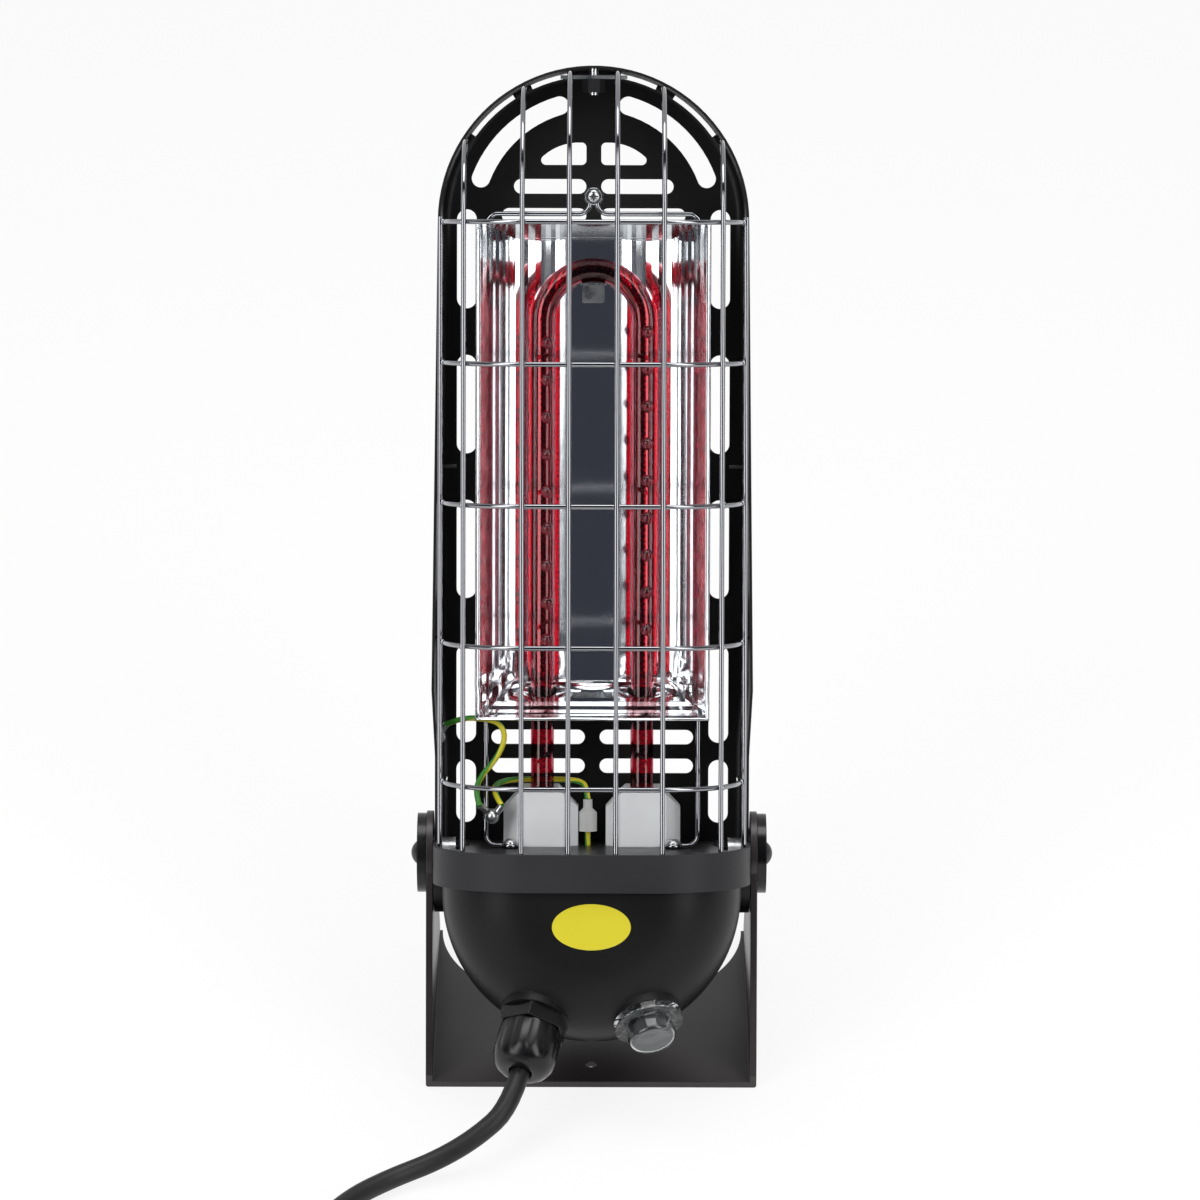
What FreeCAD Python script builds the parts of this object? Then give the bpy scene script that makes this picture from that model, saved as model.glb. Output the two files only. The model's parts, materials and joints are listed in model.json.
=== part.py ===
import FreeCAD, Part
import math
import os
from FreeCAD import Placement, Rotation, Vector

# Infrared heater lamp on a tilting U bracket, in millimetres.
# The head is drawn upright: x to the right, y back from the rim of the housing,
# z up from the pivot axis. It is then leaned back and set on the bracket.
# World frame: origin on the underside of the bracket plate, below the pivot, +Z up.

# Stand
bowl_clearance = 7.8
pivot_behind_rim = 12.0
rest_tilt = 23.0
bracket_sheet = 3.0
bracket_bend = 1.2
plate_front = 56.4
plate_rear = 80.0
notch_inset = 1.3
ear_radius = 19.0
plate_hole_radius = 2.6
plate_hole_inset = 15.2
wall_hole_radius = 2.6
wall_hole_x = 26.0
wall_hole_y = -6.0
disc_radius = 18.0
disc_thickness = 4.2
washer_radius = 11.5
washer_thickness = 0.8
bolt_radius = 3.0
bolt_head_radius = 5.4
bolt_head_height = 3.0
boss_radius = 7.0
boss_length = 8.0
running_clearance = 0.05

# Rear housing, a pressed and perforated tray
sheet = 1.2
tray_depth = 50.0
tray_half_top = 70.0
hip_flare = 2.6
foot_flare = 1.0
tray_foot = -10.0
hip_low = 45.0
hip_high = 75.0
arch_z = 286.0
tray_edge_radius = 5.0
row_rise = 16.2
row_low = 30.0
row_pitch = 13.3
row_slot_height = 6.7
row_rib = 6.8
row_inset = 23.6
row_inset_first = 33.5
row_inset_second = 28.0
side_slot_inset = 12.0
side_slot_width = 9.0
side_slot_rise = 5.6
side_slot_length = 45.2
side_slot_pitch = 66.5
side_slot_gap = 5.0
foot_slot = (10.0, 39.0)
band_inset = 10.5
band_width = 8.4
band_angles = (16.5, 69.0)
crown_slot_rise = 26.0
crown_slot_height = 10.0
crown_slot_reach = 26.8
crown_slot_bulge = 0.68
crown_slot_corner = 2.2
edge_slits = ((10.3, 24.9), (32.7, 54.3))
slit_inset = 1.4
slit_width = 2.0
tab_y = 6.0
tab_z = 175.0
tab_length = 9.0
tab_width = 8.0

# Cage
wire = 1.1
cage_inset = 3.7
cage_depth = 53.0
corner_radius = 38.0
ring_low = 35.0
ring_count = 5
ring_leg = 14.0
ring_splay_radius = 12.0
inner_upright_xs = (10.6, 31.3)
outer_upright_inset = 12.6
side_upright_y = -14.0
weld = 0.1
upright_tail = 8.0
top_bar_length = 30.0
top_bar_width = 6.0
top_bar_thickness = 1.6
top_bar_y = 4.0
top_screw_radius = 2.0
top_nut_flats = 9.0
top_nut_height = 6.0
seat_gap = 0.05

# Base
bowl_inset = 3.8
base_wall = 2.0
bowl_z = -15.0
base_rear = 48.0
rear_corner = 36.0
deck_thickness = 2.0
deck_edge_gap = 0.15
deck_screw_inset = 7.7
deck_screw_y = 26.0
deck_screw_radius = 1.5
deck_screw_length = 8.0
deck_screw_head = 4.0
deck_screw_head_height = 2.4
deck_column_radius = 4.5
deck_column_depth = 10.0
collar_low = -10.5
collar_high = 6.5
collar_proud = 4.2
collar_lip = 1.6
badge_size = (35.0, 20.6)
badge_thickness = 0.8
badge_z = -26.0
cheek_radius = 27.0
cheek_gap = 0.5
pad_radius = 15.7
pad_depth = 5.8
pad_rise = 0.6
fitting_polar = 25.0
fitting_toe = 16.0
fitting_lean = 52.0

# Heat
tube_radius = 5.3
tube_wall = 1.2
lamp_x = 22.7
lamp_y = 26.0
lamp_bend_drop = 44.4
lamp_seat_z = 13.0
lamp_cap_length = 8.0
bead_radius = 2.9
bead_low = 95.0
bead_pitch = 16.9
bead_drop_left = 10.3
bead_drop_right = 5.3
bead_turn = 22.0
filament_radius = 1.6
socket_half_width = 17.0
socket_x = 23.3
socket_front = 17.0
socket_rear_gap = 5.8
socket_top = 28.6
socket_chamfer = 9.0
socket_corner = 6.5
socket_clearance = 0.25
reflector_sheet = 0.8
reflector_lip = ((53.0, 2.0), (47.5, 10.0), (42.0, 24.0))
reflector_rear_gaps = ((36.0, 12.8), (24.0, 7.8), (15.0, 10.8))
reflector_ridge_half = 10.0
reflector_ridge_gap = 2.2
reflector_front_low = 61.0
reflector_back_low = 79.6
reflector_front_rise = 1.0
reflector_back_drop = 8.4
lamp_hole_gap = 1.5
wall_lean = 0.5
back_lean = 0.3
frame_leg_x = 48.2
frame_leg_y = 12.4
frame_eye_x = 37.0
frame_eye_radius = 3.2
frame_neck = 1.7
frame_top_rise = 3.6
frame_top_eye_rise = 11.5
frame_bend = 5.0
frame_screw_radius = 1.7
frame_screw_head = 3.6
frame_screw_head_height = 2.2
clip_half = 5.0
clip_thickness = 0.8
clip_leg = 9.0

# Wiring
earth_radius = 1.3
terminal_radius = 3.4
terminal_thickness = 0.8
terminal_screw_radius = 1.6
terminal_screw_head = 2.9
wall_terminal_y = 20.0
wall_terminal_z = 51.8
leg_terminal_z = 16.7
barrel_radius = 1.6
wall_barrel_run = ((0.5, -1.2, 2.4), (3.0, -2.5, 6.0))
long_barrel_run = ((-1.9, -0.9, 1.9), (-5.5, -4.6, 5.2))
short_barrel_run = ((2.4, -1.25, 1.9), (4.5, -1.6, 5.0))
wall_wire_share = 0.4
wall_wire_lift = 1.7
long_wire_way = ((-50.0, 8.0, 61.6), (-41.5, 8.5, 59.5), (-39.0, 9.5, 52.0), (-44.0, 9.0, 42.0),
                 (-50.5, 8.5, 35.0), (-53.0, 8.5, 28.0))
short_wire_way = ((-44.5, 14.0, 27.0), (-44.0, 25.0, 30.0), (-38.0, 35.0, 31.0), (-27.0, 38.5, 31.0),
                  (-15.0, 37.0, 31.0), (-6.0, 32.0, 31.0), (-2.5, 27.5, 29.0))
cap_radius = 4.2
cap_neck_radius = 2.1
cap_z = (8.5, 17.0, 23.0)
cap_x = -1.9
cap_y = 26.0
block_half = 16.0
block_depth = 14.0
block_height = 13.0
block_y = 12.0
lead_radius = 1.5
lead_hole_gap = 0.4
lead_sag = 0.6
core_run = 14.0
core_drop = 12.0

# Switch and gland
gland_flats = 27.0
gland_flange = 7.0
gland_thread = 9.8
gland_bore = 5.2
gland_tail = 12.0
gland_neck = 9.0
gland_nut_radius = 14.3
gland_nut_length = 22.0
gland_nut_dome = 7.0
locknut_height = 4.5
seal_length = 6.0
thread_gap = 0.05
switch_barrel = 10.0
switch_depth = 16.0
switch_flange_radius = 12.6
switch_flange = 1.6
rocker_radius = 8.4
rocker_gap = 0.3
rocker_low = 3.6
rocker_high = 3.4
rocker_swing = 9.0
rocker_pin = 1.2
boot_flange_radius = 15.4
boot_flange = 1.8
boot_wall = 1.1
boot_radius = 10.8
boot_height = 12.4
boot_edge = 2.4

# Supply cord: a free stretch with points chosen by hand, then a put-away coil
cord_radius = 4.5
cord_tail = 8.0
cord_route = ((-50.5, -126.0, 16.5), (-68.0, -133.0, 8.8), (-87.0, -142.0, 5.8), (-104.0, -157.5, 5.6),
              (-116.5, -178.5, 5.6), (-127.6, -200.7, 5.6), (-136.9, -223.9, 5.6), (-143.9, -246.8, 5.6),
              (-147.0, -266.6, 5.6))
cord_exit_run = 17.5
coil_start = (-147.0, -280.6)
coil_inner = 36.0
coil_pitch = 9.7
coil_layer = 9.7
coil_low = 5.6
coil_turns = 5.25
coil_entry = 180.0
coil_start_run = 9.0
coil_end_run = 24.0
tie_width = 11.0
tie_thickness = 0.9
tie_gap = 0.15
plug_length = 34.0
plug_radius = 15.2
plug_edge = 2.5
plug_tail_radius = 7.0
plug_mouth_radius = 5.6
plug_tail_length = 22.0
pin_radius = 2.4
pin_length = 19.0
pin_spacing = 19.0

# Sizes that follow from those above
tray_half_hip = tray_half_top + hip_flare
tray_half_foot = tray_half_top + foot_flare
base_half = tray_half_foot - bowl_inset
pivot_height = base_half - bowl_z + bowl_clearance
notch_radius = tray_half_foot + washer_thickness - notch_inset
row_top = arch_z + row_rise
row_count = int((row_top - row_low) / row_pitch) + 1
row_reach = tray_half_top - row_inset
row_reach_first = tray_half_top - row_inset_first
row_reach_second = tray_half_top - row_inset_second
side_slot_centre = tray_half_top - side_slot_inset
side_slot_top = arch_z + side_slot_rise
side_slot_room = side_slot_top - side_slot_length - side_slot_gap - foot_slot[1]
side_slot_count = int(side_slot_room / side_slot_pitch) + 1
side_slot_tops = [side_slot_top - side_slot_pitch * k for k in range(side_slot_count)]
band_outer = tray_half_top - band_inset
slit_outer = tray_half_top - slit_inset
crown_slot_base = arch_z + crown_slot_rise
ring_half = tray_half_top - cage_inset
ring_pitch = (arch_z - ring_low) / (ring_count - 1)
ring_heights = [ring_low + ring_pitch * k for k in range(ring_count)]
upright_xs = inner_upright_xs + (tray_half_top - outer_upright_inset,)
deck_screw_x = base_half - deck_screw_inset
lamp_bend_z = arch_z - lamp_bend_drop
bead_top_left = lamp_bend_z - bead_drop_left
bead_top_right = lamp_bend_z - bead_drop_right
tray_floor = tray_depth - sheet
socket_rear = tray_floor - socket_rear_gap
reflector_ridge = (reflector_ridge_half, lamp_y + tube_radius + reflector_ridge_gap)
reflector_rear = tuple((x, tray_floor - gap) for x, gap in reflector_rear_gaps)
reflector_section = reflector_lip + reflector_rear + (reflector_ridge,)
reflector_front_z = (reflector_front_low, arch_z + reflector_front_rise)
reflector_back_z = (reflector_back_low, arch_z - reflector_back_drop)
frame_top_z = arch_z + frame_top_rise
frame_top_eye_z = arch_z + frame_top_eye_rise

os.makedirs("parts", exist_ok=True)
up = Vector(0, 0, 1)
right = Vector(1, 0, 0)
back = Vector(0, 1, 0)


# Small shape helpers
def save(name, shapes):
    solids = []
    for shape in shapes:
        solids.extend(shape.Solids)
    for solid in solids:
        if not solid.isValid() or solid.Volume <= 0:
            print("check", name)
    result = solids[0] if len(solids) == 1 else Part.makeCompound(solids)
    result.exportStep("parts/" + name + ".step")
    print(name, len(solids), "solids", round(sum(s.Volume for s in solids)), "mm3")


def block(x0, x1, y0, y1, z0, z1):
    return Part.makeBox(x1 - x0, y1 - y0, z1 - z0, Vector(x0, y0, z0))


def rod(start, end, radius):
    return Part.makeCylinder(radius, (end - start).Length, start, end - start)


def pipe(start, end, outer, inner):
    return rod(start, end, outer).cut(rod(start, end, inner))


def hexagon(flats, z0, z1):
    corner = flats / math.sqrt(3.0)
    points = [Vector(corner * math.cos(math.radians(60 * k)), corner * math.sin(math.radians(60 * k)), z0)
              for k in range(7)]
    return Part.Face(Part.makePolygon(points)).extrude(Vector(0, 0, z1 - z0))


def mirrored(shape):
    return shape.mirror(Vector(0, 0, 0), right)


def straight(a, b):
    return Part.LineSegment(a, b).toShape()


def bow(a, middle, b):
    return Part.Arc(a, middle, b).toShape()


# A path of straight runs and tangent arcs; a radius of None makes each arc as large as its runs allow
def bent_path(points, radius=None, radii=None):
    edges = []
    last = points[0]
    given = radius if isinstance(radius, list) else [radius] * (len(points) - 2)
    for before, point, after, wanted in zip(points, points[1:], points[2:], given):
        into = (point - before).normalize()
        out = (after - point).normalize()
        half_turn = into.getAngle(out) / 2
        shorter = min((point - before).Length, (after - point).Length)
        bend = wanted if wanted else 0.45 * shorter / math.tan(half_turn)
        reach = bend * math.tan(half_turn)
        start = point - into * reach
        end = point + out * reach
        inward = (out - into).normalize()
        middle = point + inward * (bend / math.cos(half_turn) - bend)
        edges.append(straight(last, start))
        edges.append(bow(start, middle, end))
        last = end
        if radii is not None:
            radii.append(bend)
    edges.append(straight(last, points[-1]))
    return edges


def swept(edges, radius):
    wire_path = Part.Wire(edges)
    first = edges[0]
    start = first.valueAt(first.FirstParameter)
    profile = Part.Wire([Part.Circle(start, first.tangentAt(first.FirstParameter), radius).toShape()])
    return wire_path.makePipeShell([profile], True, False)


def bent_rod(points, radius, bend=None):
    return swept(bent_path([Vector(*p) for p in points], bend), radius)


# The head leans back about the pivot and stands on the bracket
def lean():
    to_pivot = Placement(Vector(0, -pivot_behind_rim, 0), Rotation())
    return Placement(Vector(0, 0, pivot_height), Rotation(right, -rest_tilt)) * to_pivot


def save_head(name, shapes):
    moved = []
    for shape in shapes:
        copy = shape.copy()
        copy.transformShape(lean().toMatrix(), True)
        moved.append(copy)
    save(name, moved)


# Plan of the cage and base seen from above: straight sides, round corners, flat front
def plan_corner(offset):
    return corner_radius + offset


def plan_face(offset, rear, z):
    half = ring_half + offset
    front = -cage_depth - offset
    r = plan_corner(offset)
    c = r * math.sqrt(0.5)
    a = Vector(-half, rear, z)
    b = Vector(-half, front + r, z)
    d = Vector(-half + r, front, z)
    edges = [straight(a, b), bow(b, Vector(-half + r - c, front + r - c, z), d)]
    e = Vector(half - r, front, z)
    f = Vector(half, front + r, z)
    g = Vector(half, rear, z)
    edges += [straight(d, e), bow(e, Vector(half - r + c, front + r - c, z), f)]
    edges += [straight(f, g), straight(g, a)]
    return Part.Face(Part.Wire(edges))


def plan_prism(offset, rear, z0, z1):
    return plan_face(offset, rear, z0).extrude(Vector(0, 0, z1 - z0))


# Rear housing
def tray_half(z):
    if z >= hip_high:
        share = (z - hip_high) / (arch_z - hip_high)
        return tray_half_hip + (tray_half_top - tray_half_hip) * share
    if z >= hip_low:
        share = (z - hip_low) / (hip_high - hip_low)
        return tray_half_foot + (tray_half_hip - tray_half_foot) * share
    return tray_half_foot


def tray_prism(inset, y0, y1, foot):
    side = [(tray_half_foot - inset, foot), (tray_half_foot - inset, hip_low),
            (tray_half_hip - inset, hip_high), (tray_half_top - inset, arch_z)]
    left = [Vector(-x, y0, z) for x, z in side]
    right_side = [Vector(x, y0, z) for x, z in reversed(side)]
    crown = Vector(0, y0, arch_z + tray_half_top - inset)
    edges = [straight(a, b) for a, b in zip(left, left[1:])]
    edges.append(bow(left[-1], crown, right_side[0]))
    edges += [straight(a, b) for a, b in zip(right_side, right_side[1:])]
    edges.append(straight(right_side[-1], left[0]))
    return Part.Face(Part.Wire(edges)).extrude(Vector(0, y1 - y0, 0))


def back_edges(shape, y, foot):
    chosen = []
    for edge in shape.Edges:
        box = edge.BoundBox
        if abs(box.YMin - y) < 1e-6 and abs(box.YMax - y) < 1e-6 and box.ZMax > foot + 1e-6:
            chosen.append(edge)
    return chosen


def slot_prism(x0, z0, x1, z1, radius, y0, y1):
    a = Vector(x0, y0, z0)
    b = Vector(x1, y0, z1)
    along = (b - a).normalize() * radius
    across = along.cross(back)
    edges = [straight(a + across, b + across), bow(b + across, b + along, b - across),
             straight(b - across, a - across), bow(a - across, a - along, a + across)]
    return Part.Face(Part.Wire(edges)).extrude(Vector(0, y1 - y0, 0))


def arch_point(radius, angle, y):
    turn = math.radians(angle)
    return Vector(radius * math.sin(turn), y, arch_z + radius * math.cos(turn))


def band_prism(inner, outer, angles, y0, y1, rounded):
    first, last = angles
    middle = (first + last) / 2
    mean = (inner + outer) / 2
    cap = math.degrees((outer - inner) / 2 / mean) if rounded else 0.0
    a = arch_point(outer, first, y0)
    b = arch_point(outer, last, y0)
    c = arch_point(inner, last, y0)
    d = arch_point(inner, first, y0)
    edges = [bow(a, arch_point(outer, middle, y0), b)]
    edges.append(bow(b, arch_point(mean, last + cap, y0), c) if rounded else straight(b, c))
    edges.append(bow(c, arch_point(inner, middle, y0), d))
    edges.append(bow(d, arch_point(mean, first - cap, y0), a) if rounded else straight(d, a))
    return Part.Face(Part.Wire(edges)).extrude(Vector(0, y1 - y0, 0))


def rear_housing():
    outer = tray_prism(0, 0, tray_depth, tray_foot)
    outer = outer.makeFillet(tray_edge_radius, back_edges(outer, tray_depth, tray_foot))
    inner = tray_prism(sheet, -1, tray_floor, tray_foot - 1)
    inner = inner.makeFillet(tray_edge_radius - sheet, back_edges(inner, tray_floor, tray_foot - 1))
    tray = outer.cut(inner)
    y0 = tray_floor - tray_edge_radius
    y1 = tray_depth + 1
    r = row_slot_height / 2
    right_cuts = []
    for k in range(row_count):
        reach = {0: row_reach_first, 1: row_reach_second}.get(k, row_reach)
        z = row_top - row_pitch * k
        right_cuts.append(slot_prism(row_rib / 2 + r, z, reach - r, z, r, y0, y1))
    r = side_slot_width / 2
    side_slots = [(top - side_slot_length, top) for top in side_slot_tops] + [foot_slot]
    for low, high in side_slots:
        right_cuts.append(slot_prism(side_slot_centre, low + r, side_slot_centre, high - r, r, y0, y1))
    right_cuts.append(band_prism(band_outer - band_width, band_outer, band_angles, y0, y1, True))
    right_cuts.append(crown_slot(y0, y1))
    for angles in edge_slits:
        right_cuts.append(band_prism(slit_outer - slit_width, slit_outer, angles, y0, y1, False))
    cuts = right_cuts + [mirrored(c) for c in right_cuts]
    pivot = Vector(0, pivot_behind_rim, 0)
    reach = right * (tray_half_foot + sheet)
    cuts.append(rod(pivot - reach, pivot + reach, bolt_radius + running_clearance))
    wall = Vector(-tray_half(wall_terminal_z) + sheet, wall_terminal_y, wall_terminal_z)
    cuts.append(rod(wall - right * (2 * sheet), wall + right * sheet, terminal_screw_radius + thread_gap))
    crown = Vector(0, top_bar_y, arch_z)
    cuts.append(rod(crown, crown + up * (2 * tray_half_top), top_screw_radius + thread_gap))
    eye = Vector(0, y1, frame_top_eye_z)
    cuts.append(rod(eye - back * (y1 - tray_floor + sheet), eye, frame_screw_radius + thread_gap))
    tray = tray.cut(cuts)
    tab_x = tray_half(tab_z) - sheet / 2
    tab = block(tab_x - tab_length, tab_x, tab_y, tab_y + tab_width, tab_z, tab_z + sheet)
    return tray.fuse([tab, mirrored(tab)]).removeSplitter()


def crown_slot(y0, y1):
    x0 = row_rib / 2
    z0 = crown_slot_base
    a = Vector(x0, y0, z0)
    b = Vector(crown_slot_reach, y0, z0)
    c = Vector(x0, y0, z0 + crown_slot_height)
    bulge = a + (b - a) * crown_slot_bulge + (c - a) * crown_slot_bulge
    face = Part.Face(Part.Wire([straight(a, b), bow(b, bulge, c), straight(c, a)]))
    prism = face.extrude(back * (y1 - y0))
    return prism.makeFillet(crown_slot_corner, [e for e in prism.Edges if e.BoundBox.YLength > sheet])


save_head("rear_housing", [rear_housing()])


# Cage of welded wires
upright_offset = 2 * wire - weld
arch_rest = tray_half_top - sheet - wire - seat_gap


def cage_upright(x):
    half = ring_half + upright_offset
    r = plan_corner(upright_offset)
    y = -cage_depth - upright_offset
    if x > half - r:
        y = y + r - math.sqrt(r ** 2 - (x - half + r) ** 2)
    top = arch_z + math.sqrt(arch_rest ** 2 - x ** 2)
    bend = min(-y, top - arch_z)
    return bent_rod([(x, y, deck_thickness), (x, y, top), (x, upright_tail, top)], wire, bend)


def side_upright():
    foot = Vector(ring_half + upright_offset, side_upright_y, deck_thickness)
    return rod(foot, foot + up * (arch_z + 2 * wire - deck_thickness), wire)


def cage_ring(z):
    end = tray_half(z) - sheet - wire - seat_gap
    points = [(-end, ring_leg, z), (-ring_half, 0, z), (-ring_half, -cage_depth, z),
              (ring_half, -cage_depth, z), (ring_half, 0, z), (end, ring_leg, z)]
    return bent_rod(points, wire, [ring_splay_radius, corner_radius, corner_radius, ring_splay_radius])


uprights = [cage_upright(x) for x in upright_xs] + [side_upright()]
save_head("cage_uprights", uprights + [mirrored(u) for u in uprights])
save_head("cage_rings", [cage_ring(z) for z in ring_heights])

bar_top = arch_z + math.sqrt(arch_rest ** 2 - upright_xs[0] ** 2) - wire - seat_gap
bar_low = bar_top - top_bar_thickness
nut_low = Vector(0, top_bar_y, bar_low - top_nut_height)
screw_low = nut_low - up * sheet
screw_top = Vector(0, top_bar_y, arch_z + tray_half_top - seat_gap)
screw_hole = rod(screw_low - up, screw_top, top_screw_radius + thread_gap)
top_bar = block(-top_bar_length / 2, top_bar_length / 2, top_bar_y - top_bar_width / 2,
                top_bar_y + top_bar_width / 2, bar_low, bar_top)
save_head("cage_top_bar", [top_bar.cut(screw_hole)])
top_nut = hexagon(top_nut_flats, 0, top_nut_height).translated(nut_low)
save_head("cage_top_nut", [top_nut.cut(screw_hole)])
save_head("cage_top_screw", [rod(screw_low, screw_top, top_screw_radius)])

# Base: a hollow half dome, a collar round its front and a deck that closes it
base_offset = base_half - ring_half
collar_outer = base_offset + collar_proud
lip_inner = collar_outer - collar_lip
deck_offset = lip_inner - deck_edge_gap
pivot_point = Vector(0, pivot_behind_rim, 0)


def dome_profile(inset, z):
    front = -cage_depth - base_offset + inset
    rf = plan_corner(base_offset) - inset
    half = base_half - inset
    rear = base_rear - inset
    rr = rear_corner - inset
    s = math.sqrt(0.5)
    a = Vector(0, front, z)
    b = Vector(half - rf, front, z)
    c = Vector(half, front + rf, z)
    d = Vector(half, rear - rr, z)
    e = Vector(half - rr, rear, z)
    f = Vector(0, rear, z)
    edges = [straight(a, b), bow(b, Vector(half - rf + s * rf, front + rf - s * rf, z), c), straight(c, d)]
    edges += [bow(d, Vector(half - rr + s * rr, rear - rr + s * rr, z), e), straight(e, f), straight(f, a)]
    return Part.Face(Part.Wire(edges))


def dome(inset, rim):
    half_rim = dome_profile(inset, bowl_z).extrude(Vector(0, 0, rim - bowl_z))
    round_part = dome_profile(inset, bowl_z).revolve(Vector(0, 0, bowl_z), back, 180)
    return half_rim.fuse([mirrored(half_rim), round_part]).removeSplitter()


# Where a fitting sits on the round front of the bowl, its axis turned from the surface normal to the middle
def fitting_place(side):
    r = plan_corner(base_offset)
    tip = math.radians(fitting_lean)
    ways = []
    for angle in (math.radians(fitting_polar), math.radians(fitting_toe)):
        ways.append(Vector(side * math.sin(angle), 0, -math.cos(angle)))
    normal, axis = [way * math.sin(tip) - back * math.cos(tip) for way in ways]
    centre = Vector(0, -cage_depth - base_offset + r, bowl_z) + ways[0] * (base_half - r)
    return Placement(centre + normal * (r + pad_rise), Rotation(up, axis))


def seated(shape, place):
    copy = shape.copy()
    copy.transformShape(place.toMatrix(), True)
    return copy


def local_rod(z0, z1, radius):
    return rod(Vector(0, 0, z0), Vector(0, 0, z1), radius)


def local_pipe(z0, z1, outer, inner):
    return local_rod(z0, z1, outer).cut(local_rod(z0, z1, inner))


gland_place = fitting_place(-1)
switch_place = fitting_place(1)


def boss_room():
    start = pivot_point + right * (tray_half_foot - sheet - boss_length - base_wall)
    room = rod(start, pivot_point + right * tray_half_foot, boss_radius + 2 * thread_gap)
    return [room, mirrored(room)]


def pivot_cheek():
    reach = tray_half_foot + washer_thickness - cheek_gap
    disc = rod(pivot_point + right * (base_half - base_wall / 2), pivot_point + right * reach, cheek_radius)
    room = block(0, reach, -cheek_radius, 2 * cheek_radius, -cheek_radius, collar_low - seat_gap)
    seat = rod(pivot_point, pivot_point + right * (reach + sheet), washer_radius + cheek_gap)
    return disc.common(room).cut(seat)


def base_bowl():
    shell = dome(0, 0).cut(dome(base_wall, 1))
    pads = [seated(local_rod(-pad_depth, 0, pad_radius), place) for place in (gland_place, switch_place)]
    columns = []
    for side in (-1, 1):
        foot = Vector(side * deck_screw_x, deck_screw_y, -deck_column_depth)
        columns.append(rod(foot, foot + up * deck_column_depth, deck_column_radius).common(dome(0, 0)))
    cheek = pivot_cheek()
    shell = shell.fuse(pads + columns + [cheek, mirrored(cheek)])
    cuts = boss_room()
    cuts.append(seated(local_rod(-2 * pad_depth, 1, gland_thread + 4 * thread_gap), gland_place))
    cuts.append(seated(local_rod(-2 * pad_depth, 1, switch_barrel + 2 * thread_gap), switch_place))
    spot_face = local_rod(-pad_depth - 2 * locknut_height, -pad_depth, pad_radius + pad_rise)
    cuts += [seated(spot_face, place) for place in (gland_place, switch_place)]
    for side in (-1, 1):
        top = Vector(side * deck_screw_x, deck_screw_y, 1)
        cuts.append(rod(top, top - up * (deck_screw_length + 1), deck_screw_radius + thread_gap))
    return shell.cut(cuts).removeSplitter()


def collar_band():
    bowl_room = plan_prism(base_offset + 2 * thread_gap, 1, collar_low - 1, 1)
    deck_room = plan_prism(lip_inner, 1, -1, collar_high + 1)
    lower = plan_prism(collar_outer, 0, collar_low, 0).cut(bowl_room)
    upper = plan_prism(collar_outer, 0, 0, collar_high).cut(deck_room)
    return lower.fuse(upper).removeSplitter()


def base_deck():
    half = ring_half + deck_offset
    rear = tray_floor - deck_edge_gap
    plate = plan_prism(deck_offset, 0, 0, deck_thickness)
    tail = block(-half, half, 0, rear, 0, deck_thickness)
    upright = [e for e in tail.Edges if e.BoundBox.ZLength > deck_thickness / 2]
    tail = tail.makeFillet(tray_edge_radius, [e for e in upright if e.BoundBox.YMin > rear / 2])
    cuts = boss_room()
    holes = ((deck_screw_x, deck_screw_y, deck_screw_radius), (socket_x, lamp_y, lead_radius + lead_hole_gap),
             (frame_eye_x, frame_leg_y, frame_screw_radius))
    for side in (-1, 1):
        for x, y, r in holes:
            low = Vector(side * x, y, -1)
            cuts.append(rod(low, low + up * (deck_thickness + 2), r + thread_gap))
    low = Vector(cap_x, cap_y, -1)
    cuts.append(rod(low, low + up * (deck_thickness + 2), earth_radius + lead_hole_gap))
    return plate.fuse(tail).removeSplitter().cut(cuts)


def dome_screw(base, axis, radius, length, head, height):
    ball = (head ** 2 + height ** 2) / (2 * height)
    cap = Part.makeSphere(ball, Vector(0, 0, height - ball)).common(local_rod(0, height + 1, head + 1))
    screw = cap.fuse(local_rod(-length, 0, radius))
    return seated(screw, Placement(base, Rotation(up, axis)))


save_head("base_bowl", [base_bowl()])
save_head("collar_band", [collar_band()])
save_head("base_deck", [base_deck()])
deck_screw = dome_screw(Vector(deck_screw_x, deck_screw_y, deck_thickness), up, deck_screw_radius,
                        deck_screw_length, deck_screw_head, deck_screw_head_height)
save_head("deck_screws", [deck_screw, mirrored(deck_screw)])
badge_edge = Part.Ellipse(Vector(0, 0, 0), badge_size[0] / 2, badge_size[1] / 2).toShape()
badge = Part.Face(Part.Wire([badge_edge])).extrude(up * badge_thickness)
badge_place = Placement(Vector(0, -cage_depth - base_offset, badge_z), Rotation(right, 90))
save_head("badge", [seated(badge, badge_place)])

# Pivots
boss_end = tray_half_foot - sheet - seat_gap
arm_inner = tray_half_foot + washer_thickness
arm_outer = arm_inner + bracket_sheet
disc_end = arm_outer + disc_thickness
bolt_hole_radius = bolt_radius + running_clearance
boss_tip = pivot_point + right * boss_end
boss = pipe(boss_tip - right * boss_length, boss_tip, boss_radius, bolt_hole_radius)
washer_tip = pivot_point + right * arm_inner
washer = pipe(washer_tip - right * washer_thickness, washer_tip, washer_radius, bolt_hole_radius)
bolt = dome_screw(pivot_point + right * disc_end, right, bolt_radius, disc_end - boss_end + boss_length,
                  bolt_head_radius, bolt_head_height)
save_head("pivot_bosses", [boss, mirrored(boss)])
save_head("friction_washers", [washer, mirrored(washer)])
save_head("pivot_bolts", [bolt, mirrored(bolt)])


# Stand, drawn in the world frame
pivot_world = Vector(0, 0, pivot_height)


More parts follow.
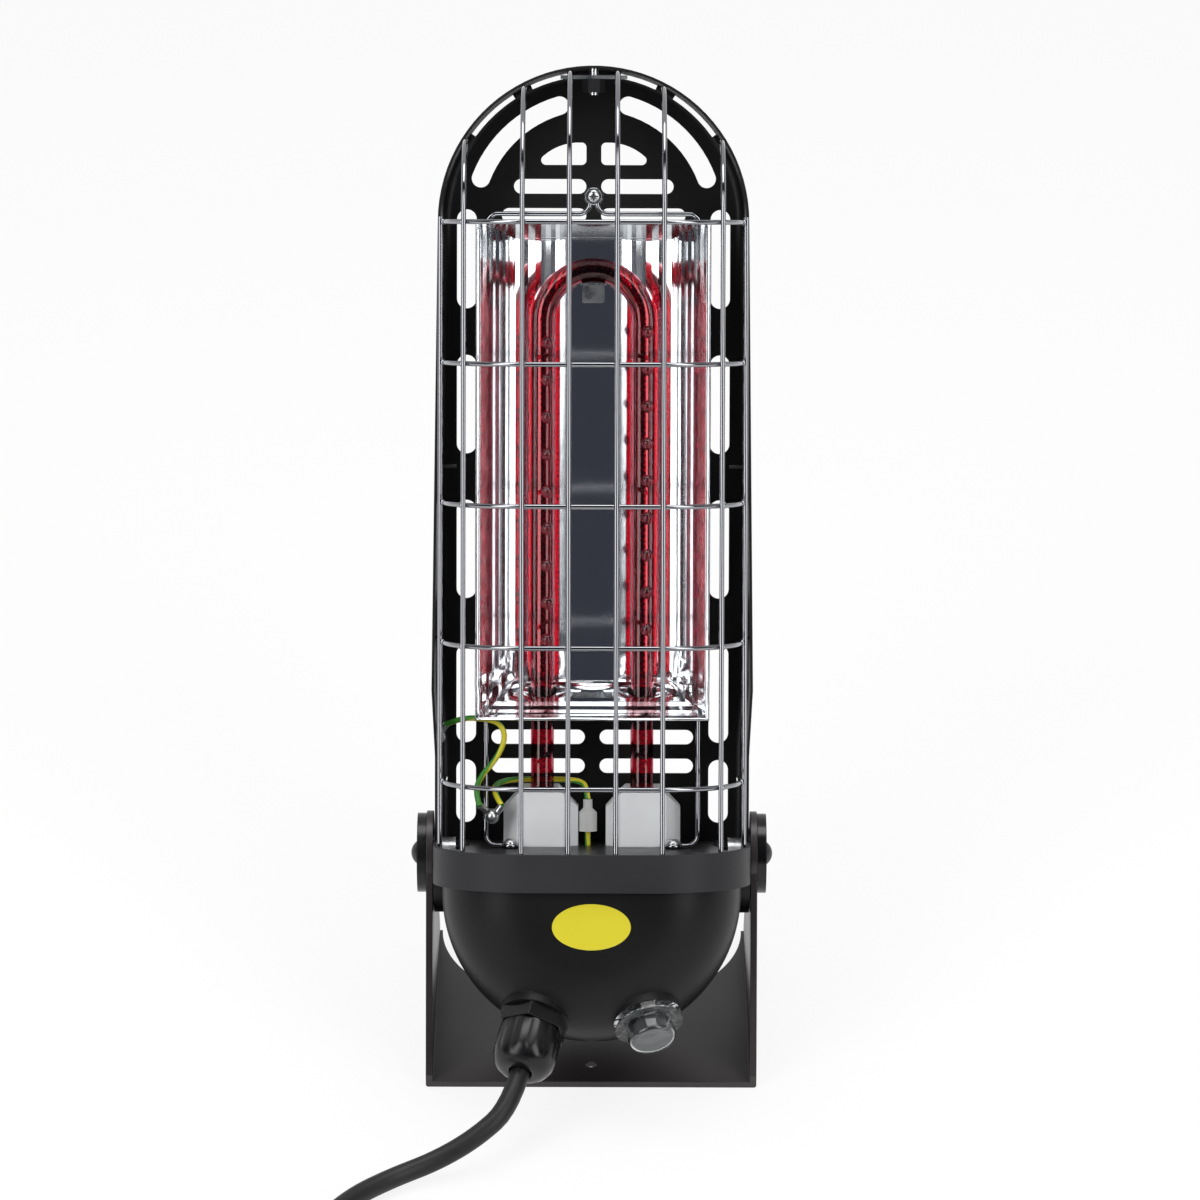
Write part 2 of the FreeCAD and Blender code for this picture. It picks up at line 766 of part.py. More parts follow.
def bracket():
    plate = block(-arm_outer, arm_outer, -plate_front, plate_rear, 0, bracket_sheet)
    notch = Vector(0, plate_rear, -1)
    plate = plate.cut(rod(notch, notch + up * (bracket_sheet + 2), notch_radius))
    foot = 2 * bracket_sheet
    side = [(-plate_front, 0), (plate_rear, 0), (plate_rear, foot), (ear_radius, pivot_height),
            (-ear_radius, pivot_height), (-plate_front, foot), (-plate_front, 0)]
    outline = Part.makePolygon([Vector(arm_inner, y, z) for y, z in side])
    arm = Part.Face(outline).extrude(right * bracket_sheet)
    ear = rod(Vector(arm_inner, 0, pivot_height), Vector(arm_outer, 0, pivot_height), ear_radius)
    arm = arm.fuse(ear)
    shape = plate.fuse([arm, mirrored(arm)]).removeSplitter()
    edges = []
    for edge in shape.Edges:
        box = edge.BoundBox
        if box.YLength > plate_front and box.ZMax < 1e-6 and abs(abs(box.XMin) - arm_outer) < 1e-6:
            edges.append(edge)
    shape = shape.makeFillet(bracket_bend, edges)
    reach = right * (arm_outer + 1)
    cuts = [rod(pivot_world - reach, pivot_world + reach, bolt_hole_radius)]
    holes = [(0, -plate_front + plate_hole_inset, plate_hole_radius)]
    holes += [(side_x, wall_hole_y, wall_hole_radius) for side_x in (-wall_hole_x, wall_hole_x)]
    for x, y, r in holes:
        cuts.append(rod(Vector(x, y, -1), Vector(x, y, bracket_sheet + 1), r))
    return shape.cut(cuts)


save("bracket", [bracket()])
disc = pipe(pivot_world + right * arm_outer, pivot_world + right * disc_end, disc_radius, bolt_hole_radius)
save("pivot_discs", [disc, mirrored(disc)])


# Lamp, its sockets and the reflector behind it
def lamp_path(foot):
    left = Vector(-lamp_x, lamp_y, lamp_bend_z)
    right_top = Vector(lamp_x, lamp_y, lamp_bend_z)
    crown = Vector(0, lamp_y, lamp_bend_z + lamp_x)
    down = up * (lamp_bend_z - foot)
    return [straight(left - down, left), bow(left, crown, right_top), straight(right_top, right_top - down)]


def lamp_tube():
    glass = swept(lamp_path(lamp_seat_z), tube_radius)
    turn = math.radians(bead_turn)
    out = Vector(math.sin(turn), -math.cos(turn), 0) * tube_radius
    beads = []
    for x, top in ((-lamp_x, bead_top_left), (lamp_x, bead_top_right)):
        for k in range(int((top - bead_low) / bead_pitch) + 1):
            beads.append(Part.makeSphere(bead_radius, Vector(x, lamp_y, top - bead_pitch * k) + out))
    hollow = swept(lamp_path(lamp_seat_z - 1), tube_radius - tube_wall)
    return glass.fuse(beads).cut(hollow)


save_head("lamp_tube", [lamp_tube()])
caps = []
for side in (-1, 1):
    foot = Vector(side * lamp_x, lamp_y, lamp_seat_z)
    caps.append(rod(foot, foot + up * lamp_cap_length, tube_radius - tube_wall - seat_gap))
save_head("lamp_caps", caps)
save_head("lamp_filament", [swept(lamp_path(lamp_seat_z + lamp_cap_length), filament_radius)])


def socket(side):
    low = deck_thickness
    c = socket_corner
    w = socket_half_width
    x = side * socket_x
    front_view = [(-w, low), (w, low), (w, socket_top - socket_chamfer), (w - socket_chamfer, socket_top),
                  (socket_chamfer - w, socket_top), (-w, socket_top - socket_chamfer), (-w, low)]
    body = Part.Face(Part.makePolygon([Vector(x + a, socket_front, z) for a, z in front_view]))
    body = body.extrude(back * (socket_rear - socket_front))
    plan = [(-w + c, socket_front), (w - c, socket_front), (w, socket_front + c), (w, socket_rear - c),
            (w - c, socket_rear), (c - w, socket_rear), (-w, socket_rear - c), (-w, socket_front + c),
            (-w + c, socket_front)]
    octagon = Part.Face(Part.makePolygon([Vector(x + a, y, low) for a, y in plan]))
    seat = Vector(side * lamp_x, lamp_y, lamp_seat_z)
    bore = rod(seat, seat + up * socket_top, tube_radius + socket_clearance)
    return body.common(octagon.extrude(up * (socket_top - low))).cut(bore)


save_head("socket_left", [socket(-1)])
save_head("socket_right", [socket(1)])


def reflector_block(inset, mouth):
    lip_x = reflector_section[0][0] - inset
    side = [(lip_x, mouth)] + [(x - inset, y - inset * wall_lean) for x, y in reflector_section[:3]]
    side += [(x - inset * back_lean, y - inset) for x, y in reflector_section[3:]]
    outline = side + [(-x, y) for x, y in reversed(side)] + [side[0]]
    low = reflector_front_z[0]
    trough = Part.Face(Part.makePolygon([Vector(x, y, low) for x, y in outline]))
    trough = trough.extrude(up * (reflector_front_z[1] - low))
    deep = reflector_section[4][1]
    front = reflector_section[0][1]
    slope_low = (reflector_back_z[0] - reflector_front_z[0]) / (deep - front)
    slope_high = (reflector_front_z[1] - reflector_back_z[1]) / (deep - front)
    lows = []
    highs = []
    for y in (mouth, deep + 1):
        lows.append(Vector(-lip_x - 1, y, reflector_front_z[0] + slope_low * (y - front) + inset))
        highs.append(Vector(-lip_x - 1, y, reflector_front_z[1] - slope_high * (y - front) - inset))
    wedge = Part.Face(Part.makePolygon([lows[0], highs[0], highs[1], lows[1], lows[0]]))
    return trough.common(wedge.extrude(right * (2 * lip_x + 2)))


def reflector():
    front = reflector_section[0][1]
    shape = reflector_block(0, front).cut(reflector_block(reflector_sheet, front - 1))
    low = Vector(lamp_x, lamp_y, reflector_front_z[0] - 1)
    high = Vector(lamp_x, lamp_y, reflector_back_z[0] + lamp_x / 3)
    hole = rod(low, high, tube_radius + lamp_hole_gap)
    return shape.cut([hole, mirrored(hole)])


save_head("reflector", [reflector()])

frame_low = deck_thickness + wire + seat_gap
frame_y = frame_leg_y


def frame_side():
    points = [(frame_eye_x + frame_eye_radius, frame_y, frame_low), (frame_leg_x, frame_y, frame_low),
              (frame_leg_x, frame_y, frame_top_z), (frame_neck, frame_y, frame_top_z),
              (frame_neck, frame_y, frame_top_eye_z - frame_eye_radius + wire / 2)]
    wire_side = bent_rod(points, wire, frame_bend)
    eye = Part.makeTorus(frame_eye_radius, wire, Vector(frame_eye_x, frame_y, frame_low), up)
    return wire_side.fuse(eye)


top_eye = Part.makeTorus(frame_eye_radius, wire, Vector(0, frame_y, frame_top_eye_z), back)
half_frame = frame_side()
save_head("reflector_frame", [half_frame.fuse([mirrored(half_frame), top_eye])])
foot_length = frame_low + wire + 2 * deck_thickness
foot_screw = dome_screw(Vector(frame_eye_x, frame_y, frame_low + wire), up, frame_screw_radius,
                        foot_length, frame_screw_head, frame_screw_head_height)
top_screw = dome_screw(Vector(0, frame_y - wire, frame_top_eye_z), -back, frame_screw_radius,
                       tray_depth - frame_y + wire, frame_screw_head, frame_screw_head_height)
save_head("frame_screws", [mirrored(foot_screw), foot_screw, top_screw])

clip_front = lamp_y - tube_radius
clip_top = lamp_bend_z + math.sqrt((lamp_x - tube_radius) ** 2 - clip_half ** 2) - seat_gap
clip_back = reflector_section[6][1] - reflector_sheet - seat_gap
clip_low = clip_top - clip_leg
clip = block(-clip_half, clip_half, clip_front, clip_back, clip_top - clip_thickness, clip_top)
clip_foot = block(-clip_half, clip_half, clip_back - clip_thickness, clip_back, clip_low, clip_top)
save_head("lamp_clip", [clip.fuse(clip_foot).removeSplitter()])


# Earth wires with their ring terminals, and the leads inside the base
def terminal(centre, axis, run, room):
    half = axis * (terminal_thickness / 2)
    ring = rod(centre - half, centre + half, terminal_radius)
    barrel = rod(centre + Vector(*run[0]), centre + Vector(*run[1]), barrel_radius)
    bore = rod(centre - half * 2, centre + half * 2, terminal_screw_radius + thread_gap)
    head_room = rod(centre + half, centre + axis * (4 * terminal_radius), room + 2 * thread_gap)
    return ring.fuse(barrel).cut([bore, head_room])


wall_inner = tray_half(wall_terminal_z - terminal_radius) - sheet
wall_eye = Vector(-wall_inner + seat_gap + terminal_thickness / 2, wall_terminal_y, wall_terminal_z)
leg_screw_x = -frame_leg_x + wire + terminal_screw_radius + 2 * thread_gap
leg_front = frame_y - wire - seat_gap
leg_eye_rear = Vector(leg_screw_x, leg_front - terminal_thickness / 2, leg_terminal_z)
leg_eye_front = leg_eye_rear - back * (terminal_thickness + seat_gap)
terminals = [terminal(wall_eye, right, wall_barrel_run, terminal_screw_head),
             terminal(leg_eye_rear, -back, long_barrel_run, terminal_radius),
             terminal(leg_eye_front, -back, short_barrel_run, terminal_screw_head)]
save_head("ring_terminals", terminals)
wall_screw = dome_screw(wall_eye + right * (terminal_thickness / 2), right, terminal_screw_radius,
                        terminal_thickness + seat_gap + sheet, terminal_screw_head, frame_screw_head_height)
leg_screw_length = 2 * terminal_thickness + 4 * wire + terminal_thickness
leg_screw = dome_screw(leg_eye_front - back * (terminal_thickness / 2), -back, terminal_screw_radius,
                       leg_screw_length, terminal_screw_head, frame_screw_head_height)
leg_nut = hexagon(2 * terminal_screw_head, 0, 2 * wire)
leg_nut = leg_nut.cut(local_rod(-1, 3 * wire, terminal_screw_radius + thread_gap))
nut_seat = Vector(leg_screw_x, frame_y + wire + seat_gap, leg_terminal_z)
leg_nut = seated(leg_nut, Placement(nut_seat, Rotation(up, back)))
save_head("terminal_screws", [wall_screw, leg_screw, leg_nut])


def wire_route(first, way, last):
    return bent_path([first] + [Vector(*p) for p in way] + [last])


wall_end = wall_eye + Vector(*wall_barrel_run[1])
wall_bend = wall_end + (Vector(*long_wire_way[0]) - wall_end) * wall_wire_share + up * wall_wire_lift
long_route = wire_route(wall_end, (wall_bend,) + long_wire_way, leg_eye_rear + Vector(*long_barrel_run[1]))
save_head("earth_wire_long", [swept(long_route, earth_radius)])
cap_low, cap_shoulder, cap_top = [Vector(cap_x, cap_y, z) for z in cap_z]
short_route = wire_route(leg_eye_front + Vector(*short_barrel_run[1]), short_wire_way, cap_top)
lead_low = Vector(cap_x, cap_y, -block_height / 2)
save_head("earth_wire_short", [swept(short_route, earth_radius), rod(lead_low, cap_low, earth_radius)])
shoulder = Part.makeCone(cap_radius, cap_neck_radius, cap_radius - cap_neck_radius, cap_shoulder, up)
cap_neck = rod(cap_shoulder, cap_top, cap_neck_radius)
save_head("wire_cap", [rod(cap_low, cap_shoulder, cap_radius).fuse([shoulder, cap_neck])])

block_room = rod(lead_low - up * block_height, cap_low, earth_radius + lead_hole_gap)
terminal_block = block(-block_half, block_half, block_y - block_depth / 2, block_y + block_depth / 2,
                       -block_height, 0)
save_head("terminal_block", [terminal_block.cut(block_room)])
lead_route = [Vector(socket_x, lamp_y, deck_thickness), Vector(socket_x, lamp_y, -block_height / 2),
              Vector(socket_x, block_y + cap_neck_radius, -block_height * lead_sag),
              Vector(block_half, block_y, -block_height / 2)]
lead = swept(bent_path(lead_route), lead_radius)
save_head("lamp_leads", [lead, mirrored(lead)])

# Cord gland on the left of the bowl
gland_end = gland_flange + gland_nut_length
neck_end = gland_flange + gland_neck
gland_body = hexagon(gland_flats, 0, gland_flange).fuse(local_rod(-gland_tail, neck_end, gland_thread))
gland_body = gland_body.cut(local_rod(-gland_tail - 1, neck_end + 1, gland_bore))
save_head("gland_body", [seated(gland_body, gland_place)])
locknut = hexagon(gland_flats - 1, -pad_depth - locknut_height, -pad_depth)
locknut = locknut.cut(local_rod(-gland_tail - pad_depth, 0, gland_thread + thread_gap))
save_head("gland_locknut", [seated(locknut, gland_place)])
nut = local_rod(gland_flange, gland_end, gland_nut_radius)
nut = nut.makeFillet(gland_nut_dome, [e for e in nut.Edges if e.BoundBox.ZMin > gland_end - 1e-6])
nut = nut.cut([local_rod(gland_flange, neck_end + seal_length, gland_thread + thread_gap),
               local_rod(gland_flange, gland_end + 1, gland_bore)])
save_head("gland_nut", [seated(nut, gland_place)])
seal = local_pipe(neck_end, neck_end + seal_length, gland_thread, cord_radius + 2 * thread_gap)
save_head("gland_seal", [seated(seal, gland_place)])

# Rocker switch under a clear boot on the right of the bowl
rocker_z = switch_flange - rocker_pin
recess = rocker_radius + rocker_gap
recess_depth = rocker_low + rocker_radius * math.sin(math.radians(rocker_swing)) + 2 * rocker_gap
pin_end = (recess + switch_barrel) / 2
pin_hole = rod(Vector(-pin_end, 0, rocker_z), Vector(pin_end, 0, rocker_z), rocker_pin + running_clearance)
barrel = local_rod(-switch_depth, 0, switch_barrel)
hollow = local_rod(rocker_z - recess_depth, switch_flange + 1, recess)
switch_body = local_rod(0, switch_flange, switch_flange_radius).fuse(barrel).cut([hollow, pin_hole])
save_head("switch_body", [seated(switch_body, switch_place)])
ball = Part.makeSphere(rocker_radius)
rocker = ball.common(local_rod(-rocker_low, rocker_high, rocker_radius + 1))
pin = rod(Vector(-pin_end + rocker_gap, 0, 0), Vector(pin_end - rocker_gap, 0, 0), rocker_pin)
rocker = rocker.fuse(pin)
rocker_pose = Placement(Vector(0, 0, rocker_z), Rotation(right, -rocker_swing))
save_head("switch_rocker", [seated(seated(rocker, rocker_pose), switch_place)])
switch_nut = local_pipe(-pad_depth - locknut_height, -pad_depth, switch_flange_radius,
                        switch_barrel + thread_gap)
save_head("switch_nut", [seated(switch_nut, switch_place)])
boot_top = switch_flange + boot_flange


def boot_cup(inset):
    cup = local_rod(0, boot_height - inset, boot_radius - inset)
    rim = [e for e in cup.Edges if e.BoundBox.ZMin > boot_height - inset - 1e-6]
    return cup.makeFillet(boot_edge - inset, rim)


boot = local_rod(0, boot_top, boot_flange_radius).fuse(boot_cup(0))
boot = boot.cut([local_rod(-1, switch_flange, switch_flange_radius + thread_gap), boot_cup(boot_wall)])
save_head("switch_boot", [seated(boot, switch_place)])

# Wires from the gland and the switch to the terminal block
cores = []
for place, depth, side in ((gland_place, cord_tail + pad_depth, -1), (switch_place, switch_depth, 1)):
    start = place.multVec(Vector(0, 0, -depth))
    inward = place.multVec(Vector(0, 0, -depth - core_run))
    end = Vector(side * block_half / 2, block_y, -block_height)
    cores.append(swept(bent_path([start, inward, end - up * core_drop, end]), lead_radius))
save_head("inner_wires", cores)

# Free stretch of the supply cord, from inside the gland to the coil
head_to_world = lean()
axis_point = head_to_world.multVec(gland_place.multVec(Vector(0, 0, 0)))
exit_point = head_to_world.multVec(gland_place.multVec(Vector(0, 0, gland_end)))
exit_way = (exit_point - axis_point).normalize()
coil_outer = coil_inner + coil_pitch * coil_turns / 2
coil_mouth = Vector(coil_start[0], coil_start[1], coil_low)
coil_base = coil_mouth + Vector(coil_outer, -coil_start_run, -coil_low)
cord_start = axis_point - exit_way * (cord_tail + pad_depth)
free_points = [exit_point + exit_way * cord_exit_run] + [Vector(*p) for p in cord_route] + [coil_mouth]
cord_radii = []
cord_edges = bent_path([exit_point] + free_points, None, cord_radii)
cord_edges = [straight(cord_start, exit_point)] + cord_edges
cord = swept(cord_edges, cord_radius)
cord_length = sum(e.Length for e in cord_edges)
cord_section = math.pi * cord_radius ** 2
print("cord exit", exit_point, "way", exit_way)
print("cord radii", [round(r, 1) for r in cord_radii])
print("cord length", round(cord_length, 1), "volume share", cord.Volume / (cord_section * cord_length))
save("supply_cord", [cord])


# Put-away coil: two layers that spiral in, climb and spiral out again
def coil_state(turn):
    middle = coil_turns / 2
    r = coil_inner + coil_pitch * abs(turn - middle)
    climb = min(max((turn - middle) * 2 + 0.5, 0.0), 1.0)
    angle = math.radians(coil_entry + 360 * turn)
    point = coil_base + Vector(r * math.cos(angle), r * math.sin(angle), coil_low + coil_layer * climb)
    rate = coil_pitch / (2 * math.pi)
    inward = 0.0 if abs(turn - middle) < 1e-6 else math.copysign(rate, turn - middle)
    rise = coil_layer / math.pi * 1.6 if 0.01 < climb < 0.99 else 0.0
    c = math.cos(angle)
    s = math.sin(angle)
    return point, Vector(inward * c - r * s, inward * s + r * c, rise).normalize()


def biarc(a, way_a, b, way_b):
    chord = b - a
    both = way_a + way_b
    k = 2 * (1 - way_a.dot(way_b))
    along = chord.dot(both)
    reach = (math.sqrt(along ** 2 + k * chord.dot(chord)) - along) / k
    first = a + way_a * reach
    second = b - way_b * reach
    joint = (first + second) * 0.5
    return [tangent_arc(a, first, joint), tangent_arc(joint, second, b)]


def tangent_arc(a, corner, b):
    middle = (a + b) * 0.5
    half_chord = (a - middle).Length
    angle = math.acos(half_chord / (corner - a).Length)
    return bow(a, middle + (corner - middle).normalize() * half_chord * math.tan(angle / 2), b)


quarter = 0.25
coil_marks = [coil_turns / 2 + quarter * k for k in range(-int(coil_turns * 2), int(coil_turns * 2) + 1)]
coil_marks = [0.0] + [m for m in coil_marks if 0.06 < m < coil_turns - 0.06] + [coil_turns]
states = [coil_state(mark) for mark in coil_marks]
states[0] = (states[0][0], Vector(0, -1, 0))
tail_way = Vector(1, 0, 0)
states[-1] = (states[-1][0], tail_way)
coil_edges = [straight(coil_mouth, states[0][0])]
for (a, way_a), (b, way_b) in zip(states, states[1:]):
    coil_edges += biarc(a, way_a, b, way_b)
plug_mouth = states[-1][0] + tail_way * coil_end_run
coil_edges.append(straight(states[-1][0], plug_mouth))
coil = swept(coil_edges, cord_radius)
coil_length = sum(e.Length for e in coil_edges)
samples = []
for edge in coil_edges:
    count = max(2, int(edge.Length / 1.5))
    for k in range(count):
        share = edge.FirstParameter + (edge.LastParameter - edge.FirstParameter) * k / count
        samples.append((len(samples) and samples[-1][0] + edge.Length / count, edge.valueAt(share)))
far = 12 * cord_radius
least = min((p - q).Length for i, (s, p) in enumerate(samples) for t, q in samples[i + 1:] if t - s > far)
print("coil length", round(coil_length, 1), "least gap", round(least - 2 * cord_radius, 2))
print("coil volume share", coil.Volume / (cord_section * coil_length))
save("cord_coil", [coil])

tie_room = cord_radius + tie_gap
tie_x0 = coil_base.x + coil_inner - tie_room
tie_x1 = coil_base.x + coil_outer - coil_pitch / 2 + tie_room
tie_y0 = coil_base.y - tie_width / 2
tie_y1 = coil_base.y + tie_width / 2
tie_z0 = coil_low - tie_room
tie_z1 = coil_low + coil_layer + tie_room
tie = block(tie_x0 - tie_thickness, tie_x1 + tie_thickness, tie_y0, tie_y1,
            tie_z0 - tie_thickness, tie_z1 + tie_thickness)
save("cord_tie", [tie.cut(block(tie_x0, tie_x1, tie_y0 - 1, tie_y1 + 1, tie_z0, tie_z1))])

# Plug at the far end
plug_neck = Part.makeCone(plug_mouth_radius, plug_tail_radius, plug_tail_length, plug_mouth, right)
plug_start = plug_mouth + right * plug_tail_length
plug_body = rod(plug_start, plug_start + right * plug_length, plug_radius)
plug_face = [e for e in plug_body.Edges if e.Closed and e.BoundBox.XMax - e.BoundBox.XMin < 1e-6]
plug_body = plug_body.makeFillet(plug_edge, plug_face)
save("plug_body", [plug_body.fuse(plug_neck)])
pins = []
for side in (-1, 1):
    root = plug_start + right * plug_length + back * (side * pin_spacing / 2)
    pins.append(rod(root, root + right * pin_length, pin_radius))
save("plug_pins", pins)
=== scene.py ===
import bpy
import bmesh
import json
import math
from mathutils import Vector, Matrix, geometry, noise


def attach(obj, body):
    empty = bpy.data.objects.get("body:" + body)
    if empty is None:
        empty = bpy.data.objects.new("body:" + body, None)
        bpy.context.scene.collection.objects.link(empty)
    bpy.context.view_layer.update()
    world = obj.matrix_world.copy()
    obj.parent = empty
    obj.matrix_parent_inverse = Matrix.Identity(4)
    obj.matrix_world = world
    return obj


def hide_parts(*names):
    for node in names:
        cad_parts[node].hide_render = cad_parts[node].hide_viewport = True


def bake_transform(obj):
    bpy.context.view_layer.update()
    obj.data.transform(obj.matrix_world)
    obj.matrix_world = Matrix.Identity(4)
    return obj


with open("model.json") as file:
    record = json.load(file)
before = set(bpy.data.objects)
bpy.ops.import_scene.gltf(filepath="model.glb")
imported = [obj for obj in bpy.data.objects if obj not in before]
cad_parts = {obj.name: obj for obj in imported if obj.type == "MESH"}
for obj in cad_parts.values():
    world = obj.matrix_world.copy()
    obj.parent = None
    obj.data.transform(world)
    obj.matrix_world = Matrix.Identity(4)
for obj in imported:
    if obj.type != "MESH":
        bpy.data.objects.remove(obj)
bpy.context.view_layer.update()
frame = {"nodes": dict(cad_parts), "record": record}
scene = bpy.context.scene
nodes = frame["nodes"]
mm = 0.001


def linearColour(text):
    parts = [int(text[i:i + 2], 16) / 255 for i in (1, 3, 5)]
    return tuple(c / 12.92 if c <= 0.04045 else ((c + 0.055) / 1.055) ** 2.4 for c in parts) + (1.0,)


def addNode(tree, kind, links=(), **values):
    node = tree.nodes.new(kind)
    for name, value in values.items():
        if hasattr(node, name):
            setattr(node, name, value)
        else:
            node.inputs[name.replace("_", " ")].default_value = value
    for socket, source in links:
        tree.links.new(source, node.inputs[socket])
    return node


# where the head stands at rest: pivot, lean and two ways to place things on it
lean = math.radians(23)
rimGap = 12            # rim plane of the tray in front of the pivot, mm
pivot = Vector((0, 0, 90))
headTurn = Matrix.Rotation(-lean, 4, "X")


def onHead(x, y, z):
    return (pivot + headTurn @ Vector((x, y - rimGap, z))) * mm


headPlace = Matrix.Translation(pivot * mm) @ headTurn @ Matrix.Diagonal((mm, mm, mm, 1)) \
    @ Matrix.Translation((0, -rimGap, 0))

# camera
camera = {"lens": 173.3, "distance": 2.6, "dip": 3.744, "roll": 0.17, "aside": 3.4 * mm}
crown = onHead(0, 0, 286)
eye = crown + camera["distance"] * Vector((0, -math.cos(lean), math.sin(lean)))
cameraData = bpy.data.cameras.new("camera")
cameraData.lens = camera["lens"]
cameraData.sensor_width = 36
cameraObject = bpy.data.objects.new("camera", cameraData)
scene.collection.objects.link(cameraObject)
cameraObject.location = eye + Vector((camera["aside"], 0, 0))
downward = Matrix.Rotation(math.pi / 2 - lean - math.radians(camera["dip"]), 3, "X")
cameraObject.rotation_euler = (downward @ Matrix.Rotation(math.radians(camera["roll"]), 3, "Z")).to_euler()
scene.camera = cameraObject
print("camera placed")


# helpers for meshes
def meshObject(name, mesh, material):
    piece = bpy.data.objects.new(name, mesh)
    scene.collection.objects.link(piece)
    mesh.materials.clear()
    mesh.materials.append(material)
    return piece


def smoothShade(mesh, angle=35):
    mesh.shade_smooth()
    mesh.set_sharp_from_angle(angle=math.radians(angle))


def nurbsPoints(route, resolution):
    curve = bpy.data.curves.new("route", "CURVE")
    curve.dimensions = "3D"
    curve.resolution_u = resolution
    spline = curve.splines.new("NURBS")
    spline.points.add(len(route) - 1)
    for point, place in zip(spline.points, route):
        point.co = (*place, 1)
    spline.order_u = 3
    spline.use_endpoint_u = True
    holder = bpy.data.objects.new("route", curve)
    scene.collection.objects.link(holder)
    bpy.context.view_layer.update()
    line = bpy.data.meshes.new_from_object(holder.evaluated_get(bpy.context.evaluated_depsgraph_get()))
    points = [v.co.copy() for v in line.vertices]
    bpy.data.objects.remove(holder)
    bpy.data.meshes.remove(line)
    return points


def sweptMesh(name, points, radius, sides):
    # a round tube along the points, its UV running round (u) and along in metres (v)
    mesh = bpy.data.meshes.new(name)
    bm = bmesh.new()
    uv = bm.loops.layers.uv.new("along")
    count = len(points)
    ways = [(points[min(i + 1, count - 1)] - points[max(i - 1, 0)]).normalized() for i in range(count)]
    across = ways[0].orthogonal().normalized()
    rings, run = [], [0.0]
    for i in range(count):
        if i:
            across = ways[i - 1].rotation_difference(ways[i]) @ across
            run.append(run[-1] + (points[i] - points[i - 1]).length)
        other = ways[i].cross(across)
        rings.append([bm.verts.new(points[i] + radius * (math.cos(a) * across + math.sin(a) * other))
                      for a in (2 * math.pi * k / sides for k in range(sides))])
    for i in range(count - 1):
        for k in range(sides):
            n = (k + 1) % sides
            face = bm.faces.new((rings[i][k], rings[i][n], rings[i + 1][n], rings[i + 1][k]))
            corners = ((k, i), (k + 1, i), (k + 1, i + 1), (k, i + 1))
            for loop, (u, v) in zip(face.loops, corners):
                loop[uv].uv = (u / sides, run[v])
    bm.faces.new(list(reversed(rings[0])))
    bm.faces.new(rings[-1])
    bm.to_mesh(mesh)
    bm.free()
    smoothShade(mesh, 60)
    return mesh


def turnedMesh(name, profile, steps, place):
    # a lathe: (radius, height) pairs in mm turned about z, then set in its place
    mesh = bpy.data.meshes.new(name)
    bm = bmesh.new()
    rings = []
    for radius, height in profile:
        if radius < 1e-6:
            rings.append([bm.verts.new((0, 0, height))] * steps)
        else:
            rings.append([bm.verts.new((radius * math.cos(a), radius * math.sin(a), height))
                          for a in (2 * math.pi * k / steps for k in range(steps))])
    for low, high in zip(rings, rings[1:]):
        for k in range(steps):
            n = (k + 1) % steps
            corners = [low[k], low[n], high[n], high[k]]
            bm.faces.new(list(dict.fromkeys(corners)))
    bm.transform(place)
    bmesh.ops.recalc_face_normals(bm, faces=bm.faces)
    bm.to_mesh(mesh)
    bm.free()
    smoothShade(mesh)
    return mesh


def placedOn(point, way):
    # puts a shape drawn in mm about z at a point in mm, its z along the way
    turn = Vector((0, 0, 1)).rotation_difference(Vector(way))
    return Matrix.Diagonal((mm, mm, mm, 1)) @ Matrix.Translation(point) @ turn.to_matrix().to_4x4()


# materials
def newMaterial(name, colour, roughness, **values):
    material = bpy.data.materials.new(name)
    material.use_nodes = True
    shader = material.node_tree.nodes["Principled BSDF"]
    shader.inputs["Base Color"].default_value = linearColour(colour)
    shader.inputs["Roughness"].default_value = roughness
    for socket, value in values.items():
        shader.inputs[socket.replace("_", " ")].default_value = value
    return material, material.node_tree, shader


def surfaceGrain(tree, shader, size, depth, tones=None, rough=None, patch=60, edge=None):
    # fine grain of the given size in mm as bump, broad patches as small shifts of tone and gloss,
    # and edges softened to a radius in mm as a coat or a mould leaves them
    where = addNode(tree, "ShaderNodeTexCoord")
    fine = addNode(tree, "ShaderNodeTexNoise", [("Vector", where.outputs["Object"])],
                   Scale=1 / (size * mm), Detail=3)
    bump = addNode(tree, "ShaderNodeBump", [("Height", fine.outputs["Fac"])], Strength=1, Distance=depth * mm)
    tree.links.new(bump.outputs["Normal"], shader.inputs["Normal"])
    if edge:
        softened = addNode(tree, "ShaderNodeBevel", Radius=edge * mm)
        tree.links.new(softened.outputs["Normal"], bump.inputs["Normal"])
    broad = addNode(tree, "ShaderNodeTexNoise", [("Vector", where.outputs["Object"])],
                    Scale=1 / (patch * mm), Detail=4)
    if tones:
        ramp = addNode(tree, "ShaderNodeValToRGB", [("Fac", broad.outputs["Fac"])])
        for stop, (place, colour) in zip(ramp.color_ramp.elements, zip((0.3, 0.7), tones)):
            stop.position = place
            stop.color = linearColour(colour)
        tree.links.new(ramp.outputs["Color"], shader.inputs["Base Color"])
    if rough:
        span = addNode(tree, "ShaderNodeMapRange", [("Value", broad.outputs["Fac"])],
                       From_Min=0.3, From_Max=0.7, To_Min=rough[0], To_Max=rough[1])
        tree.links.new(span.outputs["Result"], shader.inputs["Roughness"])


# powder coat sprayed and baked on sheet steel: satin, a little orange peel
blackPowder, tree, shader = newMaterial("powder_coat_on_pressed_steel", "#161515", 0.4,
                                        Specular_IOR_Level=0.3)
surfaceGrain(tree, shader, 1.4, 0.012, ("#141313", "#191818"), (0.36, 0.46), edge=0.5)
